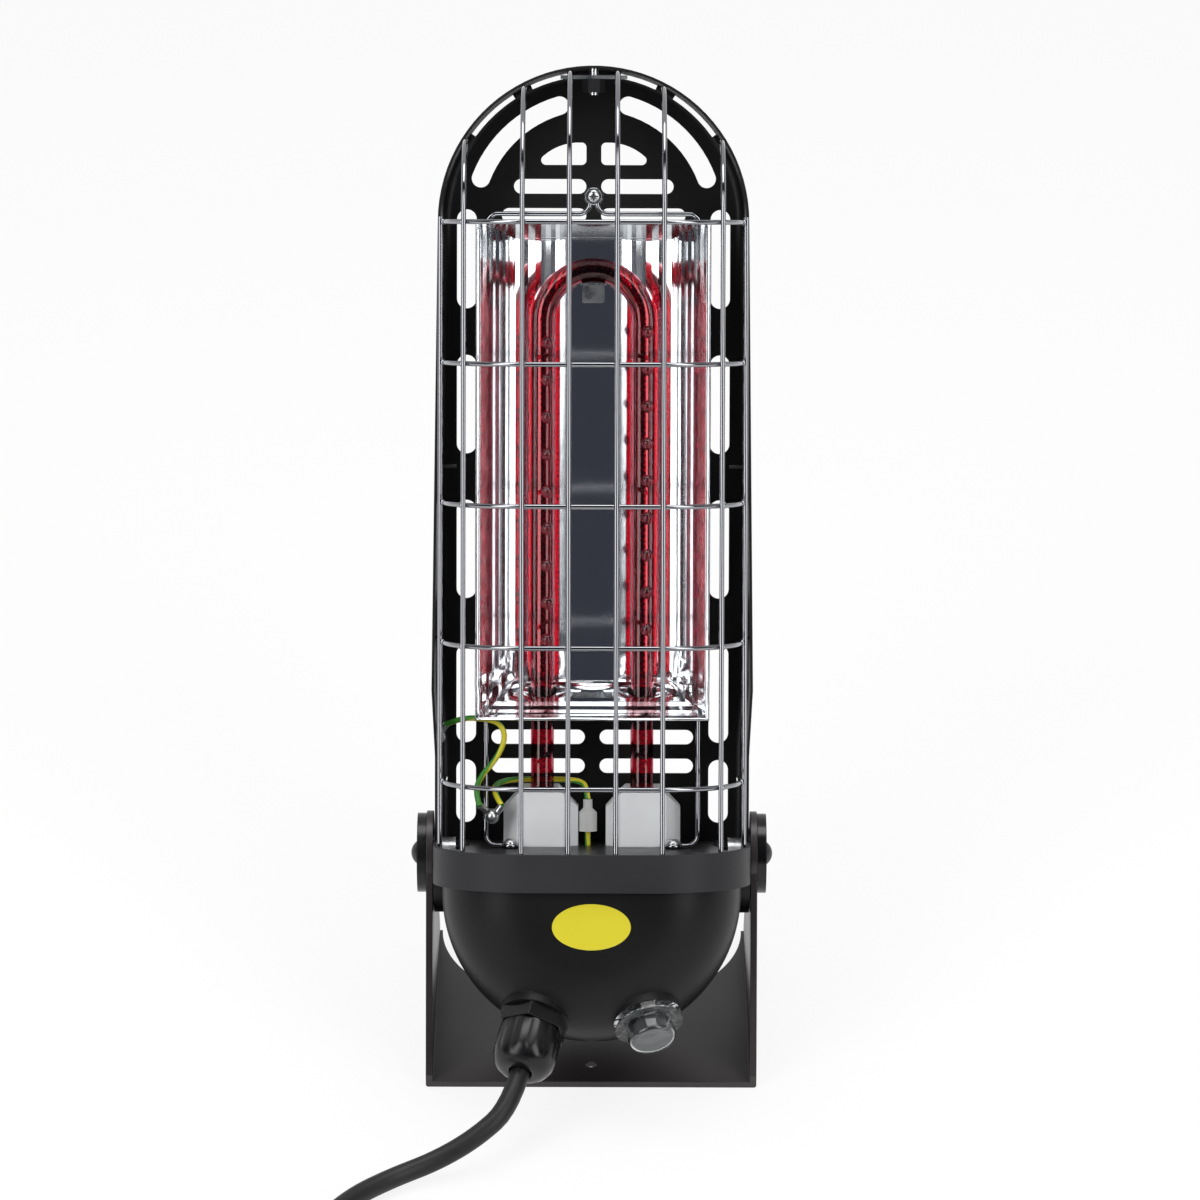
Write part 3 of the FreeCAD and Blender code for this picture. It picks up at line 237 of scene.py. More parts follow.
# the same coat on the folded bracket, its colour painted warmer and a touch lighter as painted sheen: it
# stands for the light raking the plate and its brownish reflection
bracketPaintedSheen, tree, shader = newMaterial("powder_coat_with_painted_sheen", "#302a2b", 0.36,
                                          Specular_IOR_Level=0.55)
surfaceGrain(tree, shader, 1.4, 0.012, ("#2c2627", "#342e2f"), (0.32, 0.42), edge=0.7)
# stoved enamel on the drawn bowl: smoother than powder, soft broad sheen
bowlEnamel, tree, shader = newMaterial("stoved_enamel_on_drawn_steel", "#151516", 0.38,
                                       Specular_IOR_Level=0.2)
surfaceGrain(tree, shader, 2.2, 0.008, ("#131314", "#181819"), (0.34, 0.44), edge=0.8)
# glass-filled nylon moulding: dark grey, matt, its spark-eroded grain drawn coarse enough to show
collarNylon, tree, shader = newMaterial("moulded_glass_nylon", "#27272a", 0.5, Specular_IOR_Level=0.3)
surfaceGrain(tree, shader, 0.5, 0.012, ("#242427", "#2a2a2d"), (0.46, 0.56), edge=0.8)
# bright chromium over drawn steel wire: near mirror, faintly uneven
chromeWire, tree, shader = newMaterial("chromium_on_drawn_wire", "#97989c", 0.07, Metallic=1.0)
surfaceGrain(tree, shader, 0.9, 0.002, None, (0.05, 0.11), 18)
# anodised bright rolled aluminium: mirror with slow waves from the rolls
brightSheet, tree, shader = newMaterial("bright_rolled_aluminium", "#eceef0", 0.1, Metallic=1.0)
where = addNode(tree, "ShaderNodeTexCoord")
rollWave = {"size": 22 * mm, "depth": 0.06 * mm}
waves = addNode(tree, "ShaderNodeTexNoise", [("Vector", where.outputs["Object"])],
                Scale=1 / rollWave["size"], Detail=2)
waveBump = addNode(tree, "ShaderNodeBump", [("Height", waves.outputs["Fac"])],
                   Strength=1, Distance=rollWave["depth"])
tree.links.new(waveBump.outputs["Normal"], shader.inputs["Normal"])
# ruby quartz drawn as tube: clear, deep red by its body colour, polished by fire
rubyGlass, tree, shader = newMaterial("drawn_ruby_quartz", "#b23a50", 0.015, IOR=1.46,
                                      Transmission_Weight=1.0)
# heating wire, oxidised by its first firing: dull and dark, a little brown
firedWire, tree, shader = newMaterial("oxidised_heating_wire", "#3a2f2e", 0.5, Metallic=1.0)
# fired steatite, unglazed: cool white, matt, its pores drawn coarse enough to show
steatite, tree, shader = newMaterial("fired_steatite", "#f0f2f4", 0.55)
surfaceGrain(tree, shader, 0.8, 0.02, ("#eceef0", "#f4f6f7"), (0.5, 0.62), 25, 0.7)
# zinc plate, clear passivated: bluish grey, semi-bright
zincPlate, tree, shader = newMaterial("passivated_zinc_plate", "#c4c6c6", 0.28, Metallic=1.0)
surfaceGrain(tree, shader, 0.6, 0.006, ("#b4b6b6", "#d0d2d2"), (0.22, 0.38), 6)
# black oxide on turned or pressed steel: dark with a low oily gloss
blackOxide, tree, shader = newMaterial("black_oxide_steel", "#1c1c1e", 0.34)
surfaceGrain(tree, shader, 0.5, 0.004, ("#19191a", "#222224"), (0.3, 0.42), 12)
# nylon moulded in polished tools: black with clear highlights
blackNylon, tree, shader = newMaterial("polished_moulded_nylon", "#0e0e0f", 0.26, Specular_IOR_Level=0.4)
surfaceGrain(tree, shader, 1.1, 0.004, ("#0c0c0d", "#111112"), (0.2, 0.34), 15, 0.6)
# natural nylon: softly glossy, slightly translucent; its white is painted down to a grey as painted shade,
# for the shade that falls on the cap
whiteNylonPaintedShade, tree, shader = newMaterial("natural_nylon_with_painted_shade", "#c6c6c4", 0.34, Subsurface_Weight=0.15)
shader.inputs["Subsurface Radius"].default_value = (1.2 * mm, 1.0 * mm, 0.8 * mm)
# transparent silicone moulding: clear, a little hazy, bright rims
clearSilicone, tree, shader = newMaterial("moulded_clear_silicone", "#eef1f3", 0.09, IOR=1.41,
                                          Transmission_Weight=1.0)
# green and yellow extruded sleeve: the stripe winds slowly round the wire
earthSleeve, tree, shader = newMaterial("two_colour_extruded_sleeve", "#3f8a2c", 0.4)
along = addNode(tree, "ShaderNodeUVMap", uv_map="along")
parts = addNode(tree, "ShaderNodeSeparateXYZ", [("Vector", along.outputs["UV"])])
wound = addNode(tree, "ShaderNodeMath", [(0, parts.outputs["Y"])], operation="MULTIPLY_ADD")
wound.inputs[1].default_value = 1 / (70 * mm)   # one turn of the stripe in 70 mm
tree.links.new(parts.outputs["X"], wound.inputs[2])
turnPart = addNode(tree, "ShaderNodeMath", [(0, wound.outputs[0])], operation="FRACT")
stripe = addNode(tree, "ShaderNodeValToRGB", [("Fac", turnPart.outputs[0])])
stripe.color_ramp.interpolation = "CONSTANT"
stripe.color_ramp.elements[0].color = linearColour("#3f8a2c")
stripe.color_ramp.elements[1].position = 0.55
stripe.color_ramp.elements[1].color = linearColour("#d9cf2e")
tree.links.new(stripe.outputs["Color"], shader.inputs["Base Color"])
# white extruded sleeve of the leads
whiteSleeve, tree, shader = newMaterial("extruded_white_sleeve", "#dcdcd8", 0.42)
# rubber sheath extruded on the flex: near black, dull, faintly patchy
rubberSheath, tree, shader = newMaterial("extruded_rubber_sheath", "#141313", 0.46, Specular_IOR_Level=0.4)
surfaceGrain(tree, shader, 0.7, 0.015, ("#121111", "#181617"), (0.42, 0.56), 30)
# nickel on turned brass pins
nickelPins, tree, shader = newMaterial("nickel_on_turned_brass", "#d5cfc2", 0.2, Metallic=1.0)
# domed polycarbonate label printed yellow from behind
badgeYellow, tree, shader = newMaterial("reverse_printed_label", "#ddd038", 0.22)
badgeRim, tree, shader = newMaterial("printed_dark_rim", "#1c1a14", 0.3)

slotMaterials = {
    "black_coat": blackPowder, "bowl_coat": bowlEnamel, "collar_grey": collarNylon,
    "chrome_wire": chromeWire, "bright_aluminium": brightSheet, "ruby_glass": rubyGlass,
    "filament": firedWire, "white_ceramic": steatite, "zinc_steel": zincPlate, "black_steel": blackOxide,
    "black_nylon": blackNylon, "white_nylon": whiteNylonPaintedShade, "clear_silicone": clearSilicone,
    "earth_sleeve": earthSleeve, "white_sleeve": whiteSleeve, "black_rubber": rubberSheath,
    "brass_pins": nickelPins, "badge_yellow": badgeYellow}
for record in frame["record"]["subparts"]:
    name = record["node"]
    # the bracket takes the lighter, warmer copy of the black coat: painted sheen, not a different paint
    material = bracketPaintedSheen if name == "bracket" else slotMaterials[record["material_slot"]]
    mesh = nodes[name].data
    for index in range(max(1, len(mesh.materials))):
        if len(mesh.materials) <= index:
            mesh.materials.append(material)
        mesh.materials[index] = material
print("materials set on", len(nodes), "nodes")


# Geometry Nodes: copies of one small shape on points, and round wires along lines
def nodeTree(name, inputs):
    tree = bpy.data.node_groups.new(name, "GeometryNodeTree")
    tree.interface.new_socket("Geometry", in_out="INPUT", socket_type="NodeSocketGeometry")
    for label, kind in inputs:
        tree.interface.new_socket(label, in_out="INPUT", socket_type=kind)
    tree.interface.new_socket("Geometry", in_out="OUTPUT", socket_type="NodeSocketGeometry")
    return tree, addNode(tree, "NodeGroupInput")


def endTree(tree, grown, given):
    real = addNode(tree, "GeometryNodeRealizeInstances", [("Geometry", grown)])
    dressed = addNode(tree, "GeometryNodeSetMaterial", [("Geometry", real.outputs["Geometry"]),
                                                        ("Material", given.outputs["Finish"])])
    addNode(tree, "NodeGroupOutput", [(0, dressed.outputs["Geometry"])])


def grownMesh(name, source, tree, **values):
    holder = bpy.data.objects.new(name, source)
    scene.collection.objects.link(holder)
    modifier = holder.modifiers.new(name, "NODES")
    modifier.node_group = tree
    for item in tree.interface.items_tree:
        if item.in_out == "INPUT" and item.name in values:
            modifier[item.identifier] = values[item.name]
    bpy.context.view_layer.update()
    mesh = bpy.data.meshes.new_from_object(holder.evaluated_get(bpy.context.evaluated_depsgraph_get()))
    holder.modifiers.remove(modifier)
    bpy.data.objects.remove(holder)
    mesh.name = name
    return mesh


copyTree, given = nodeTree("copiesOnPoints", (("Copied", "NodeSocketObject"),
                                              ("Finish", "NodeSocketMaterial")))
shape = addNode(copyTree, "GeometryNodeObjectInfo", [("Object", given.outputs["Copied"])])
wayGiven = addNode(copyTree, "GeometryNodeInputNamedAttribute", data_type="FLOAT_VECTOR", Name="way")
sizeGiven = addNode(copyTree, "GeometryNodeInputNamedAttribute", data_type="FLOAT", Name="size")
facing = addNode(copyTree, "FunctionNodeAlignRotationToVector",
                 [("Vector", wayGiven.outputs["Attribute"])], axis="Z")
copies = addNode(copyTree, "GeometryNodeInstanceOnPoints",
                 [("Points", given.outputs["Geometry"]), ("Instance", shape.outputs["Geometry"]),
                  ("Rotation", facing.outputs["Rotation"]), ("Scale", sizeGiven.outputs["Attribute"])])
endTree(copyTree, copies.outputs["Instances"], given)

wireTree, given = nodeTree("wiresOnLines", (("Radius", "NodeSocketFloat"), ("Sides", "NodeSocketInt"),
                                            ("Finish", "NodeSocketMaterial")))
line = addNode(wireTree, "GeometryNodeMeshToCurve", [("Mesh", given.outputs["Geometry"])])
circle = addNode(wireTree, "GeometryNodeCurvePrimitiveCircle",
                 [("Radius", given.outputs["Radius"]), ("Resolution", given.outputs["Sides"])])
wire = addNode(wireTree, "GeometryNodeCurveToMesh", [("Curve", line.outputs["Curve"]),
                                                     ("Profile Curve", circle.outputs["Curve"])])
wire.inputs["Fill Caps"].default_value = True
soft = addNode(wireTree, "GeometryNodeSetShadeSmooth", [("Geometry", wire.outputs["Mesh"])])
endTree(wireTree, soft.outputs["Geometry"], given)


def copiesAt(name, template, spots, material):
    # spots: place in metres, way the copy's z looks, size of the copy
    points = bpy.data.meshes.new(name)
    points.from_pydata([s[0] for s in spots], [], [])
    points.attributes.new("way", "FLOAT_VECTOR", "POINT")
    points.attributes.new("size", "FLOAT", "POINT")
    for i, spot in enumerate(spots):
        points.attributes["way"].data[i].vector = spot[1]
        points.attributes["size"].data[i].value = spot[2]
    mesh = grownMesh(name, points, copyTree, Copied=template, Finish=material)
    return meshObject(name, mesh, material)


# domed screw head of radius 1 with a cross recess and a shank, as a template
def crossScrew():
    profile = [(0, 0.6), (0.35, 0.565), (0.65, 0.46), (0.86, 0.28), (0.97, 0.1), (1, 0),
               (0.45, 0), (0.45, -1.6), (0, -1.6)]
    recess = {"length": 1.15, "width": 0.2, "depth": 0.5, "middle": 0.5}
    mesh = turnedMesh("crossScrew", profile, 32, Matrix.Identity(4))
    head = bpy.data.objects.new("crossScrew", mesh)
    scene.collection.objects.link(head)
    slotMesh = bpy.data.meshes.new("recess")
    bm = bmesh.new()
    for turn in (0, math.pi / 2):
        made = bmesh.ops.create_cube(bm, size=1)["verts"]
        bmesh.ops.scale(bm, verts=made, vec=(recess["length"], recess["width"], recess["depth"]))
        bmesh.ops.translate(bm, verts=made, vec=(0, 0, recess["middle"]))
        bmesh.ops.rotate(bm, verts=made, matrix=Matrix.Rotation(turn, 3, "Z"))
    bm.to_mesh(slotMesh)
    bm.free()
    cutter = bpy.data.objects.new("recess", slotMesh)
    scene.collection.objects.link(cutter)
    cut = head.modifiers.new("recess", "BOOLEAN")
    cut.operation = "DIFFERENCE"
    cut.object = cutter
    cut.solver = "EXACT"
    cut.use_self = True
    bpy.context.view_layer.update()
    made = bpy.data.meshes.new_from_object(head.evaluated_get(bpy.context.evaluated_depsgraph_get()))
    for extra in (head, cutter):
        bpy.data.objects.remove(extra)
    smoothShade(made, 30)
    template = bpy.data.objects.new("crossScrewShape", made)
    scene.collection.objects.link(template)
    return template


screwShape = crossScrew()
headUp = headTurn.to_3x3() @ Vector((0, 0, 1))
headFront = headTurn.to_3x3() @ Vector((0, -1, 0))
deckScrews = {"x": 59.5, "y": 26, "z": 2, "head": 4.0 * mm}
spots = [(onHead(side * deckScrews["x"], deckScrews["y"], deckScrews["z"]), headUp, deckScrews["head"])
         for side in (-1, 1)]
piece = copiesAt("deckScrewHeads", screwShape, spots, blackOxide)
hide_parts("deck_screws")
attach(piece, "head")
frameScrews = {"foot": (37, 12.4, 4.25), "top": (0, 11.3, 297.5), "head": 3.6 * mm}
spots = [(onHead(side * frameScrews["foot"][0], *frameScrews["foot"][1:]), headUp, frameScrews["head"])
         for side in (-1, 1)]
spots.append((onHead(*frameScrews["top"]), headFront, frameScrews["head"]))
piece = copiesAt("frameScrewHeads", screwShape, spots, zincPlate)
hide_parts("frame_screws")
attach(piece, "head")
bpy.data.objects.remove(screwShape)
print("screws placed")

# weld spots where the guard's uprights cross its rings
guard = {"rings": (35, 97.75, 160.5, 223.25, 286), "uprights": (10.6, 31.3, 57.4), "half": 66.3,
         "depth": 53, "corner": 38, "sideY": -14, "offset": 1.05, "spot": 1.42 * mm}
weldMesh = bpy.data.meshes.new("weldSpot")
bm = bmesh.new()
bmesh.ops.create_icosphere(bm, subdivisions=2, radius=1)
bm.to_mesh(weldMesh)
bm.free()
smoothShade(weldMesh)
weldShape = bpy.data.objects.new("weldSpot", weldMesh)
scene.collection.objects.link(weldShape)
spots = []
bend = guard["half"] - guard["corner"]
for z in guard["rings"]:
    for side in (-1, 1):
        for x in guard["uprights"]:
            past = max(0, x - bend)
            inward = math.sqrt(guard["corner"] ** 2 - past ** 2)
            outX = x + guard["offset"] * past / guard["corner"]
            outY = -guard["depth"] + guard["corner"] - inward - guard["offset"] * inward / guard["corner"]
            spots.append((onHead(side * outX, outY, z), headUp, guard["spot"]))
        sideX = side * (guard["half"] + guard["offset"])
        spots.append((onHead(sideX, guard["sideY"], z), headUp, guard["spot"]))
piece = copiesAt("guardWelds", weldShape, spots, chromeWire)
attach(piece, "head")
bpy.data.objects.remove(weldShape)
print("welds", len(spots))

# wound heating wire in the lamp: a helix along the U, in place of the plain rod
lampWinding = {"x": 22.7, "y": 26, "low": 21, "bendZ": 241.6, "radius": 1.45, "wire": 0.22 * mm,
               "pitch": 2.6, "perTurn": 10, "sides": 6}
legRun = lampWinding["bendZ"] - lampWinding["low"]
arcRun = math.pi * lampWinding["x"]
turns = (2 * legRun + arcRun) / lampWinding["pitch"]
windingPoints = []
for step in range(int(turns * lampWinding["perTurn"])):
    run = step / lampWinding["perTurn"] * lampWinding["pitch"]
    angle = 2 * math.pi * step / lampWinding["perTurn"]
    if run < legRun:
        spine = Vector((-lampWinding["x"], lampWinding["y"], lampWinding["low"] + run))
        out = Vector((-1, 0, 0))
    elif run < legRun + arcRun:
        sweep = math.pi - (run - legRun) / lampWinding["x"]
        out = Vector((math.cos(sweep), 0, math.sin(sweep)))
        spine = Vector((0, lampWinding["y"], lampWinding["bendZ"])) + lampWinding["x"] * out
    else:
        spine = Vector((lampWinding["x"], lampWinding["y"], lampWinding["bendZ"] - (run - legRun - arcRun)))
        out = Vector((1, 0, 0))
    place = spine + lampWinding["radius"] * (math.cos(angle) * out + math.sin(angle) * Vector((0, 1, 0)))
    windingPoints.append(onHead(*place))
windingLine = bpy.data.meshes.new("winding")
windingLine.from_pydata(windingPoints, [(i, i + 1) for i in range(len(windingPoints) - 1)], [])
windingMesh = grownMesh("lampWinding", windingLine, wireTree, Radius=lampWinding["wire"],
                        Sides=lampWinding["sides"], Finish=firedWire)
piece = meshObject("lampWinding", windingMesh, firedWire)
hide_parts("lamp_filament")
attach(piece, "head")
print("winding", len(windingPoints), "points")

# earth wires with a winding stripe, along the same routes as their solids
earthWires = {
    "radius": 1.3 * mm, "resolution": 10, "sides": 12,
    "long": [(-66.53, 17.5, 57.8), (-59.92, 13.7, 61.0), (-50, 8, 61.6), (-41.5, 8.5, 59.5), (-39, 9.5, 52),
             (-44, 9, 42), (-50.5, 8.5, 35), (-53, 8.5, 28), (-50.9, 6.25, 21.9)],
    "short": [(-40.9, 8.4, 21.7), (-44.5, 14, 27), (-44, 25, 30), (-38, 35, 31), (-27, 38.5, 31),
              (-15, 37, 31), (-6, 32, 31), (-2.5, 27.5, 29), (-1.9, 26, 23)],
    "drop": [(-1.9, 26, 8.5), (-1.9, 26, 1), (-1.9, 26, -6.5)]}
for name, routes, node in (("earthWireLong", ("long",), "earth_wire_long"),
                           ("earthWireShort", ("short", "drop"), "earth_wire_short")):
    bm = bmesh.new()
    for key in routes:
        wirePoints = nurbsPoints([onHead(*p) for p in earthWires[key]], earthWires["resolution"])
        bm.from_mesh(sweptMesh(key, wirePoints, earthWires["radius"], earthWires["sides"]))
    mesh = bpy.data.meshes.new(name)
    bm.to_mesh(mesh)
    bm.free()
    smoothShade(mesh, 60)
    piece = meshObject(name, mesh, earthSleeve)
    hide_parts(node)
    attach(piece, "head")
print("earth wires swept")

# reflector: folded bright sheet with narrow facets, its lower corners crumpled where they were bent in
reflector = {
    "section": [(53, 2), (50.4, 5.7), (47.5, 10), (45, 16.6), (42, 24), (39.4, 30.2), (36, 36), (30, 38.8),
                (24, 41), (19.2, 39.6), (15, 38), (10, 33.5), (5, 33.5)],
    "front": (61, 287), "back": (79.6, 277.6), "deep": 41, "rows": 64, "crowding": 1.5, "sheet": 0.8,
    "lamp": (22.7, 26), "hole": 6.8, "holeSteps": 24, "wave": 0.05, "waveSize": (18, 34), "sideways": 60,
    "flute": 0.16, "sharp": 4,
    "crumple": {"depth": 0.9, "size": (5, 6), "height": 24, "inner": 26, "over": 12}}
fluted = [reflector["section"][0]]
for (x0, y0), (x1, y1) in zip(reflector["section"], reflector["section"][1:]):
    # a shallow flute along each facet: its middle stands out a little to the front
    aside = reflector["flute"] / math.hypot(x1 - x0, y1 - y0)
    fluted += [((x0 + x1) / 2 - aside * abs(y1 - y0), (y0 + y1) / 2 - aside * abs(x1 - x0)), (x1, y1)]
columns = [(-x, y) for x, y in fluted] + list(reversed(fluted))
tilt = [(reflector["back"][i] - reflector["front"][i]) / (reflector["deep"] - 2) for i in (0, 1)]
crumple = reflector["crumple"]
acrossWave, alongWave = reflector["waveSize"]
acrossFold, alongFold = crumple["size"]


def lowAt(y):
    return reflector["front"][0] + tilt[0] * (y - 2)


def highAt(y):
    return reflector["front"][1] + tilt[1] * (y - 2)


bm = bmesh.new()
grid = []
for x, y in columns:
    column = []
    for row in range(reflector["rows"] + 1):
        share = (row / reflector["rows"]) ** reflector["crowding"]
        z = lowAt(y) + (highAt(y) - lowAt(y)) * share
        outward = min(1, max(0, (abs(x) - crumple["inner"]) / crumple["over"]))
        near = max(0, 1 - (z - lowAt(y)) / crumple["height"]) * outward
        shift = reflector["wave"] * noise.noise(Vector((x / acrossWave, y / acrossWave, z / alongWave)))
        fold = noise.noise(Vector((x / acrossFold, y / acrossFold, z / alongFold)))
        shift += crumple["depth"] * near * fold
        column.append(bm.verts.new((x * (1 + shift / reflector["sideways"]), y + shift, z)))
    grid.append(column)
for left, right in zip(grid, grid[1:]):
    for row in range(reflector["rows"]):
        bm.faces.new((left[row], right[row], right[row + 1], left[row + 1]))
lampX, lampY = reflector["lamp"]
hole = reflector["hole"]
holeAngles = [2 * math.pi * k / reflector["holeSteps"] for k in range(reflector["holeSteps"])]
holeRing = [[Vector((side * lampX + hole * math.cos(a), lampY + hole * math.sin(a), 0)) for a in holeAngles]
            for side in (-1, 1)]
for row, heightAt, holes in ((0, lowAt, holeRing), (reflector["rows"], highAt, [])):
    outer = [column[row].co for column in grid]
    flat = [[Vector((p.x, p.y, 0)) for p in outer]] + holes
    verts = [column[row] for column in grid]
    verts += [bm.verts.new((v.x, v.y, heightAt(v.y))) for ring in holes for v in ring]
    for a, b, c in geometry.tessellate_polygon(flat):
        bm.faces.new((verts[a], verts[b], verts[c]))
bmesh.ops.recalc_face_normals(bm, faces=bm.faces)
bm.transform(headPlace)
mesh = bpy.data.meshes.new("reflectorSheet")
bm.to_mesh(mesh)
bm.free()
piece = meshObject("reflectorSheet", mesh, brightSheet)
shell = piece.modifiers.new("sheet", "SOLIDIFY")
shell.thickness = reflector["sheet"] * mm
shell.offset = -1
smoothShade(mesh, reflector["sharp"])
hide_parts("reflector")
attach(piece, "head")
print("reflector sheet folded")

# gland nut: fluted barrel with a rounded mouth
glandNut = {
    "seat": (-25.1147, -74.1443, 46.6671), "way": (-0.2172052, -0.8626922, -0.4567101),
    "profile": [(9.85, 7), (9.85, 22), (5.2, 22), (5.2, 28.6), (5.7, 29), (7.2, 29), (9.6, 28.3), (12, 26.3),
                (13.5, 23.6), (14.3, 20.6), (14.3, 8.6), (13.8, 7.4), (13.2, 7), (9.85, 7)],
    "steps": 96, "flutes": 12, "depth": 0.55, "span": (8.5, 21), "outside": 13}
bm = bmesh.new()
bm.from_mesh(turnedMesh("nut", glandNut["profile"], glandNut["steps"], Matrix.Identity(4)))
bmesh.ops.remove_doubles(bm, verts=bm.verts, dist=1e-4)
for vert in bm.verts:
    reach = math.hypot(vert.co.x, vert.co.y)
    if reach > glandNut["outside"] and glandNut["span"][0] < vert.co.z < glandNut["span"][1]:
        wave = (0.5 + 0.5 * math.cos(glandNut["flutes"] * math.atan2(vert.co.y, vert.co.x))) ** 3
        vert.co.x *= 1 - glandNut["depth"] * wave / reach
        vert.co.y *= 1 - glandNut["depth"] * wave / reach
bm.transform(placedOn(glandNut["seat"], glandNut["way"]))
mesh = bpy.data.meshes.new("glandNut")
bm.to_mesh(mesh)
bm.free()
smoothShade(mesh, 30)
piece = meshObject("glandNut", mesh, blackNylon)
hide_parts("gland_nut")
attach(piece, "head")

# badge: low lens of printed label with a thin dark rim
badge = {"size": (35, 20.6), "thick": 0.8, "place": (0, -53.9, -26), "steps": 72,
         "rings": (1, 0.995, 0.965, 0.93, 0.6, 0.3), "rimRings": 3}
halfWide, halfHigh = (side / 2 for side in badge["size"])
bm = bmesh.new()
rings = []
for k, scale in enumerate((1,) + badge["rings"]):
    lift = 0 if k == 0 else badge["thick"] * (0.7 + 0.3 * math.sqrt(max(0, 1 - scale ** 2)))
    rings.append([bm.verts.new((scale * halfWide * math.cos(a), -lift, scale * halfHigh * math.sin(a)))
                  for a in (2 * math.pi * i / badge["steps"] for i in range(badge["steps"]))])
for k, (low, high) in enumerate(zip(rings, rings[1:])):
    for i in range(badge["steps"]):
        n = (i + 1) % badge["steps"]
        face = bm.faces.new((low[i], low[n], high[n], high[i]))
        face.material_index = 1 if k < badge["rimRings"] else 0
bm.faces.new(rings[-1])
bm.faces.new(list(reversed(rings[0])))
bmesh.ops.recalc_face_normals(bm, faces=bm.faces)
bm.transform(headPlace @ Matrix.Translation(badge["place"]))
mesh = bpy.data.meshes.new("badgeLens")
bm.to_mesh(mesh)
bm.free()
smoothShade(mesh, 30)
piece = meshObject("badgeLens", mesh, badgeYellow)
mesh.materials.append(badgeRim)
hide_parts("badge")
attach(piece, "head")
print("gland nut and badge made")

# plug: moulded body with grip rings and a ribbed tail
plug = {"mouth": (-61.5375, -351.0625, 15.3), "radius": 15.2, "steps": 64,
        "ribs": {"count": 5, "first": 2.5, "pitch": 3.6, "depth": 0.9, "radius": 5.7, "widen": 0.28},
        "grips": {"count": 5, "first": 26, "pitch": 4, "depth": 0.7}}
ribs, grips = plug["ribs"], plug["grips"]
profile = [(4.6, 0), (5.4, 0), (5.6, 0.5)]
for k in range(ribs["count"]):
    z = ribs["first"] + ribs["pitch"] * k
    r = ribs["radius"] + ribs["widen"] * k
    profile += [(r, z), (r - ribs["depth"], z + 0.5), (r - ribs["depth"], z + 1.5), (r + 0.1, z + 2)]
profile += [(7, 21.4), (8.2, 22), (13.4, 22.4), (14.6, 24)]
outside, groove = plug["radius"], plug["radius"] - grips["depth"]
for k in range(grips["count"]):
    z = grips["first"] + grips["pitch"] * k
    profile += [(outside, z), (outside, z + 1.6), (groove, z + 2.2), (groove, z + 3.2), (outside, z + 3.8)]
profile += [(outside, 53.5), (14.6, 55.2), (12.8, 56), (0, 56)]
mesh = turnedMesh("plugMoulding", profile, plug["steps"], placedOn(plug["mouth"], (1, 0, 0)))
plugPiece = meshObject("plugMoulding", mesh, rubberSheath)
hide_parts("plug_body")
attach(plugPiece, "stand")
print("plug made")

# supply cord: gland, floor, coil and plug in one line
cord = {
    "radius": 4.5 * mm, "resolution": 6, "sides": 16, "exit": Vector((-30.110, -93.986, 36.163)) * mm,
    "route": [(-35.215, -114.259, 25.430), (-50.5, -126, 16.5), (-68, -133, 8.8), (-87, -142, 5.8),
              (-104, -157.5, 5.6), (-116.5, -178.5, 5.6), (-127.6, -200.7, 5.6), (-136.9, -223.9, 5.6),
              (-143.9, -246.8, 5.6), (-147, -266.6, 5.6), (-147, -280.6, 5.6)],
    "coil": {"centre": (-85.5375, -289.6), "inner": 36.0, "pitch": 9.7, "turns": 5.25, "perTurn": 20,
             "low": 5.6, "high": 15.3},
    "lead": (-73, -351.0625, 15.3)}
coil = cord["coil"]
route = [cord["exit"]] + [Vector(p) * mm for p in cord["route"]]
middle = coil["turns"] / 2
for step in range(int(coil["turns"] * coil["perTurn"]) + 1):
    turn = step / coil["perTurn"]
    radius = coil["inner"] + coil["pitch"] * abs(turn - middle)
    climb = min(1, max(0, (turn - middle) * 2 + 0.5))
    climb = climb * climb * (3 - 2 * climb)
    angle = math.pi + 2 * math.pi * turn
    route.append(Vector((coil["centre"][0] + radius * math.cos(angle),
                         coil["centre"][1] + radius * math.sin(angle),
                         coil["low"] + (coil["high"] - coil["low"]) * climb)) * mm)
route += [Vector(cord["lead"]) * mm, Vector(plug["mouth"]) * mm]
cordLine = nurbsPoints(route, cord["resolution"])
cordMesh = sweptMesh("flexCord", cordLine, cord["radius"], cord["sides"])
cordPiece = meshObject("flexCord", cordMesh, rubberSheath)
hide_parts("supply_cord", "cord_coil")
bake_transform(cordPiece)

# floor of matt paper, white to the camera, to gloss and through glass, and still showing the shadow
floor = {"half": 9, "paper": "#f4f4f4", "white": 0.86}
half = floor["half"]
floorMesh = bpy.data.meshes.new("floor")
floorCorners = [(-half, -half, 0), (half, -half, 0), (half, half, 0), (-half, half, 0)]
floorMesh.from_pydata(floorCorners, [], [(0, 1, 2, 3)])
floorPaper, tree, shader = newMaterial("matt_backdrop_paper", floor["paper"], 0.8)
path = addNode(tree, "ShaderNodeLightPath")
seen = addNode(tree, "ShaderNodeMath",
               [(0, path.outputs["Is Camera Ray"]), (1, path.outputs["Is Glossy Ray"])], operation="MAXIMUM")
seenToo = addNode(tree, "ShaderNodeMath", [(0, seen.outputs[0]), (1, path.outputs["Is Transmission Ray"])],
                  operation="MAXIMUM")
share = addNode(tree, "ShaderNodeMath", [(0, seenToo.outputs[0])], operation="MULTIPLY")
share.inputs[1].default_value = floor["white"]
paperWhite = addNode(tree, "ShaderNodeEmission", Strength=1.0)
paperWhite.inputs["Color"].default_value = (1, 1, 1, 1)
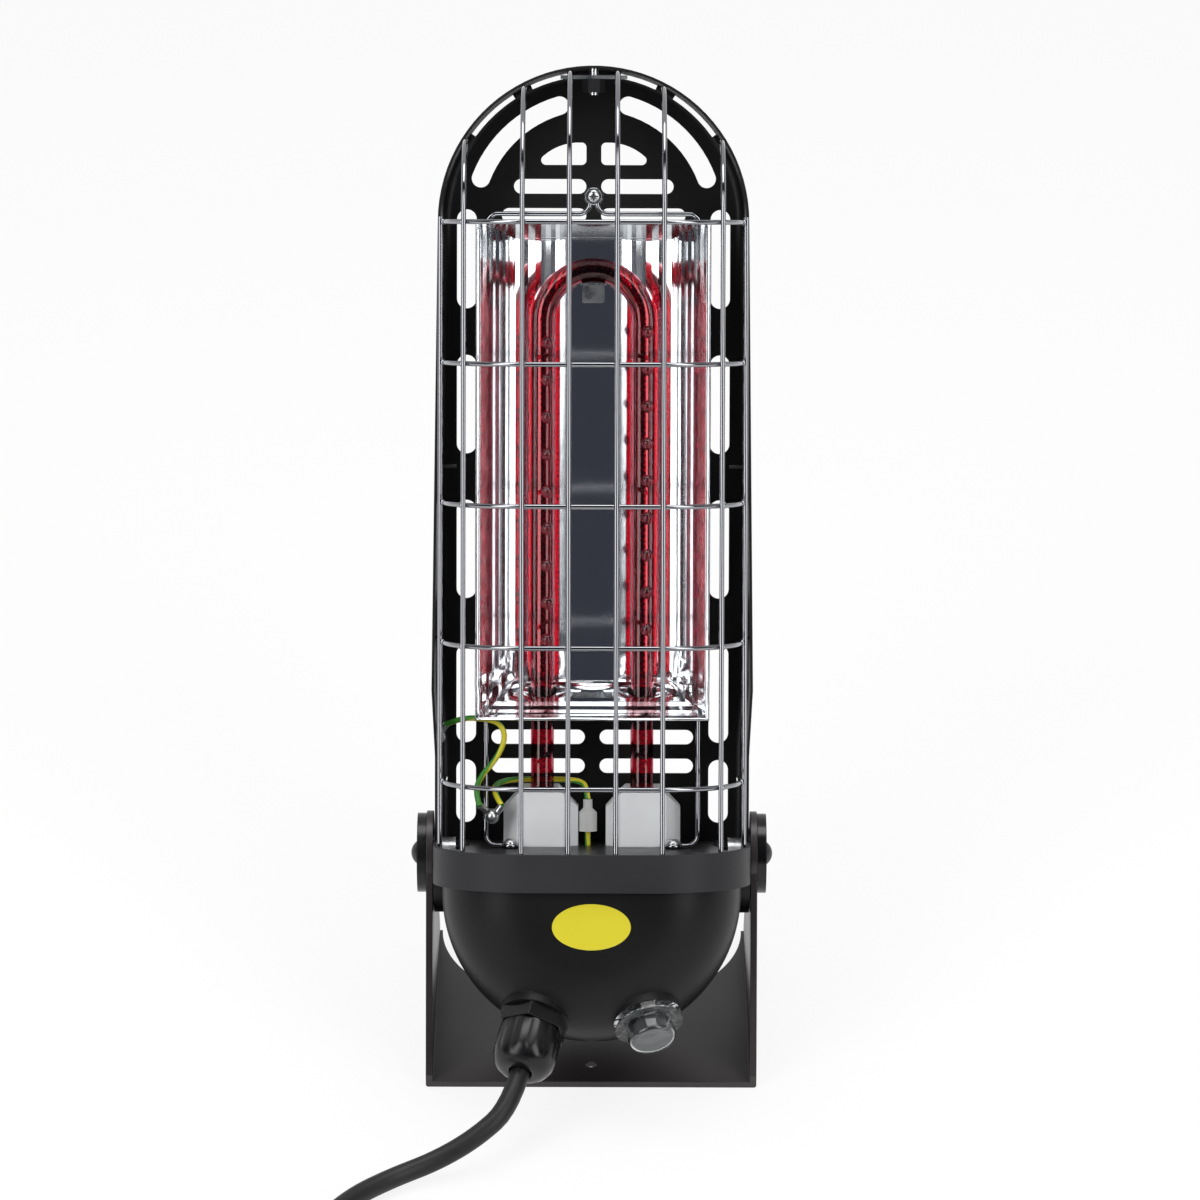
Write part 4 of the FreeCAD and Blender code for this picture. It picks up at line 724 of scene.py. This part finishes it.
paperMix = addNode(tree, "ShaderNodeMixShader", [("Fac", share.outputs[0])])
tree.links.new(shader.outputs["BSDF"], paperMix.inputs[1])
tree.links.new(paperWhite.outputs["Emission"], paperMix.inputs[2])
tree.links.new(paperMix.outputs["Shader"], tree.nodes["Material Output"].inputs["Surface"])
meshObject("floor", floorMesh, floorPaper)

# room: dim behind the camera, white behind the part
studio = {"dim": (0.055, 0.06, 0.078, 1), "white": (0.95, 0.95, 0.95, 1), "from": -0.1, "to": 0.3,
          "strength": 0.68}
world = bpy.data.worlds.new("studio")
scene.world = world
world.use_nodes = True
tree = world.node_tree
sky = tree.nodes["Background"]
where = addNode(tree, "ShaderNodeTexCoord")
way = addNode(tree, "ShaderNodeSeparateXYZ", [("Vector", where.outputs["Generated"])])
depth = addNode(tree, "ShaderNodeMapRange", [("Value", way.outputs["Y"])],
                From_Min=studio["from"], From_Max=studio["to"])
room = addNode(tree, "ShaderNodeValToRGB", [("Fac", depth.outputs["Result"])])
room.color_ramp.elements[0].color = studio["dim"]
room.color_ramp.elements[1].color = studio["white"]
tree.links.new(room.outputs["Color"], sky.inputs["Color"])
sky.inputs["Strength"].default_value = studio["strength"]

# lights: two tall softboxes in front at the sides, one above
aim = Vector((0, 0.05, 0.22))
for light in (
        {"name": "keySoftbox", "place": (-1.4, -1.4, 1.5), "size": (0.9, 2.5), "power": 31},
        {"name": "fillSoftbox", "place": (1.4, -1.4, 1.5), "size": (0.9, 2.5), "power": 28},
        {"name": "topSoftbox", "place": (0.0, 0.3, 2.2), "size": (1.6, 1.0), "power": 21}):
    lamp = bpy.data.lights.new(light["name"], "AREA")
    lamp.shape = "RECTANGLE"
    lamp.size, lamp.size_y = light["size"]
    lamp.energy = light["power"]
    lampObject = bpy.data.objects.new(light["name"], lamp)
    scene.collection.objects.link(lampObject)
    lampObject.location = light["place"]
    lampObject.rotation_euler = (aim - Vector(light["place"])).to_track_quat("-Z", "Y").to_euler()
scene.view_settings.view_transform = "Standard"
print("floor, world and lights set")
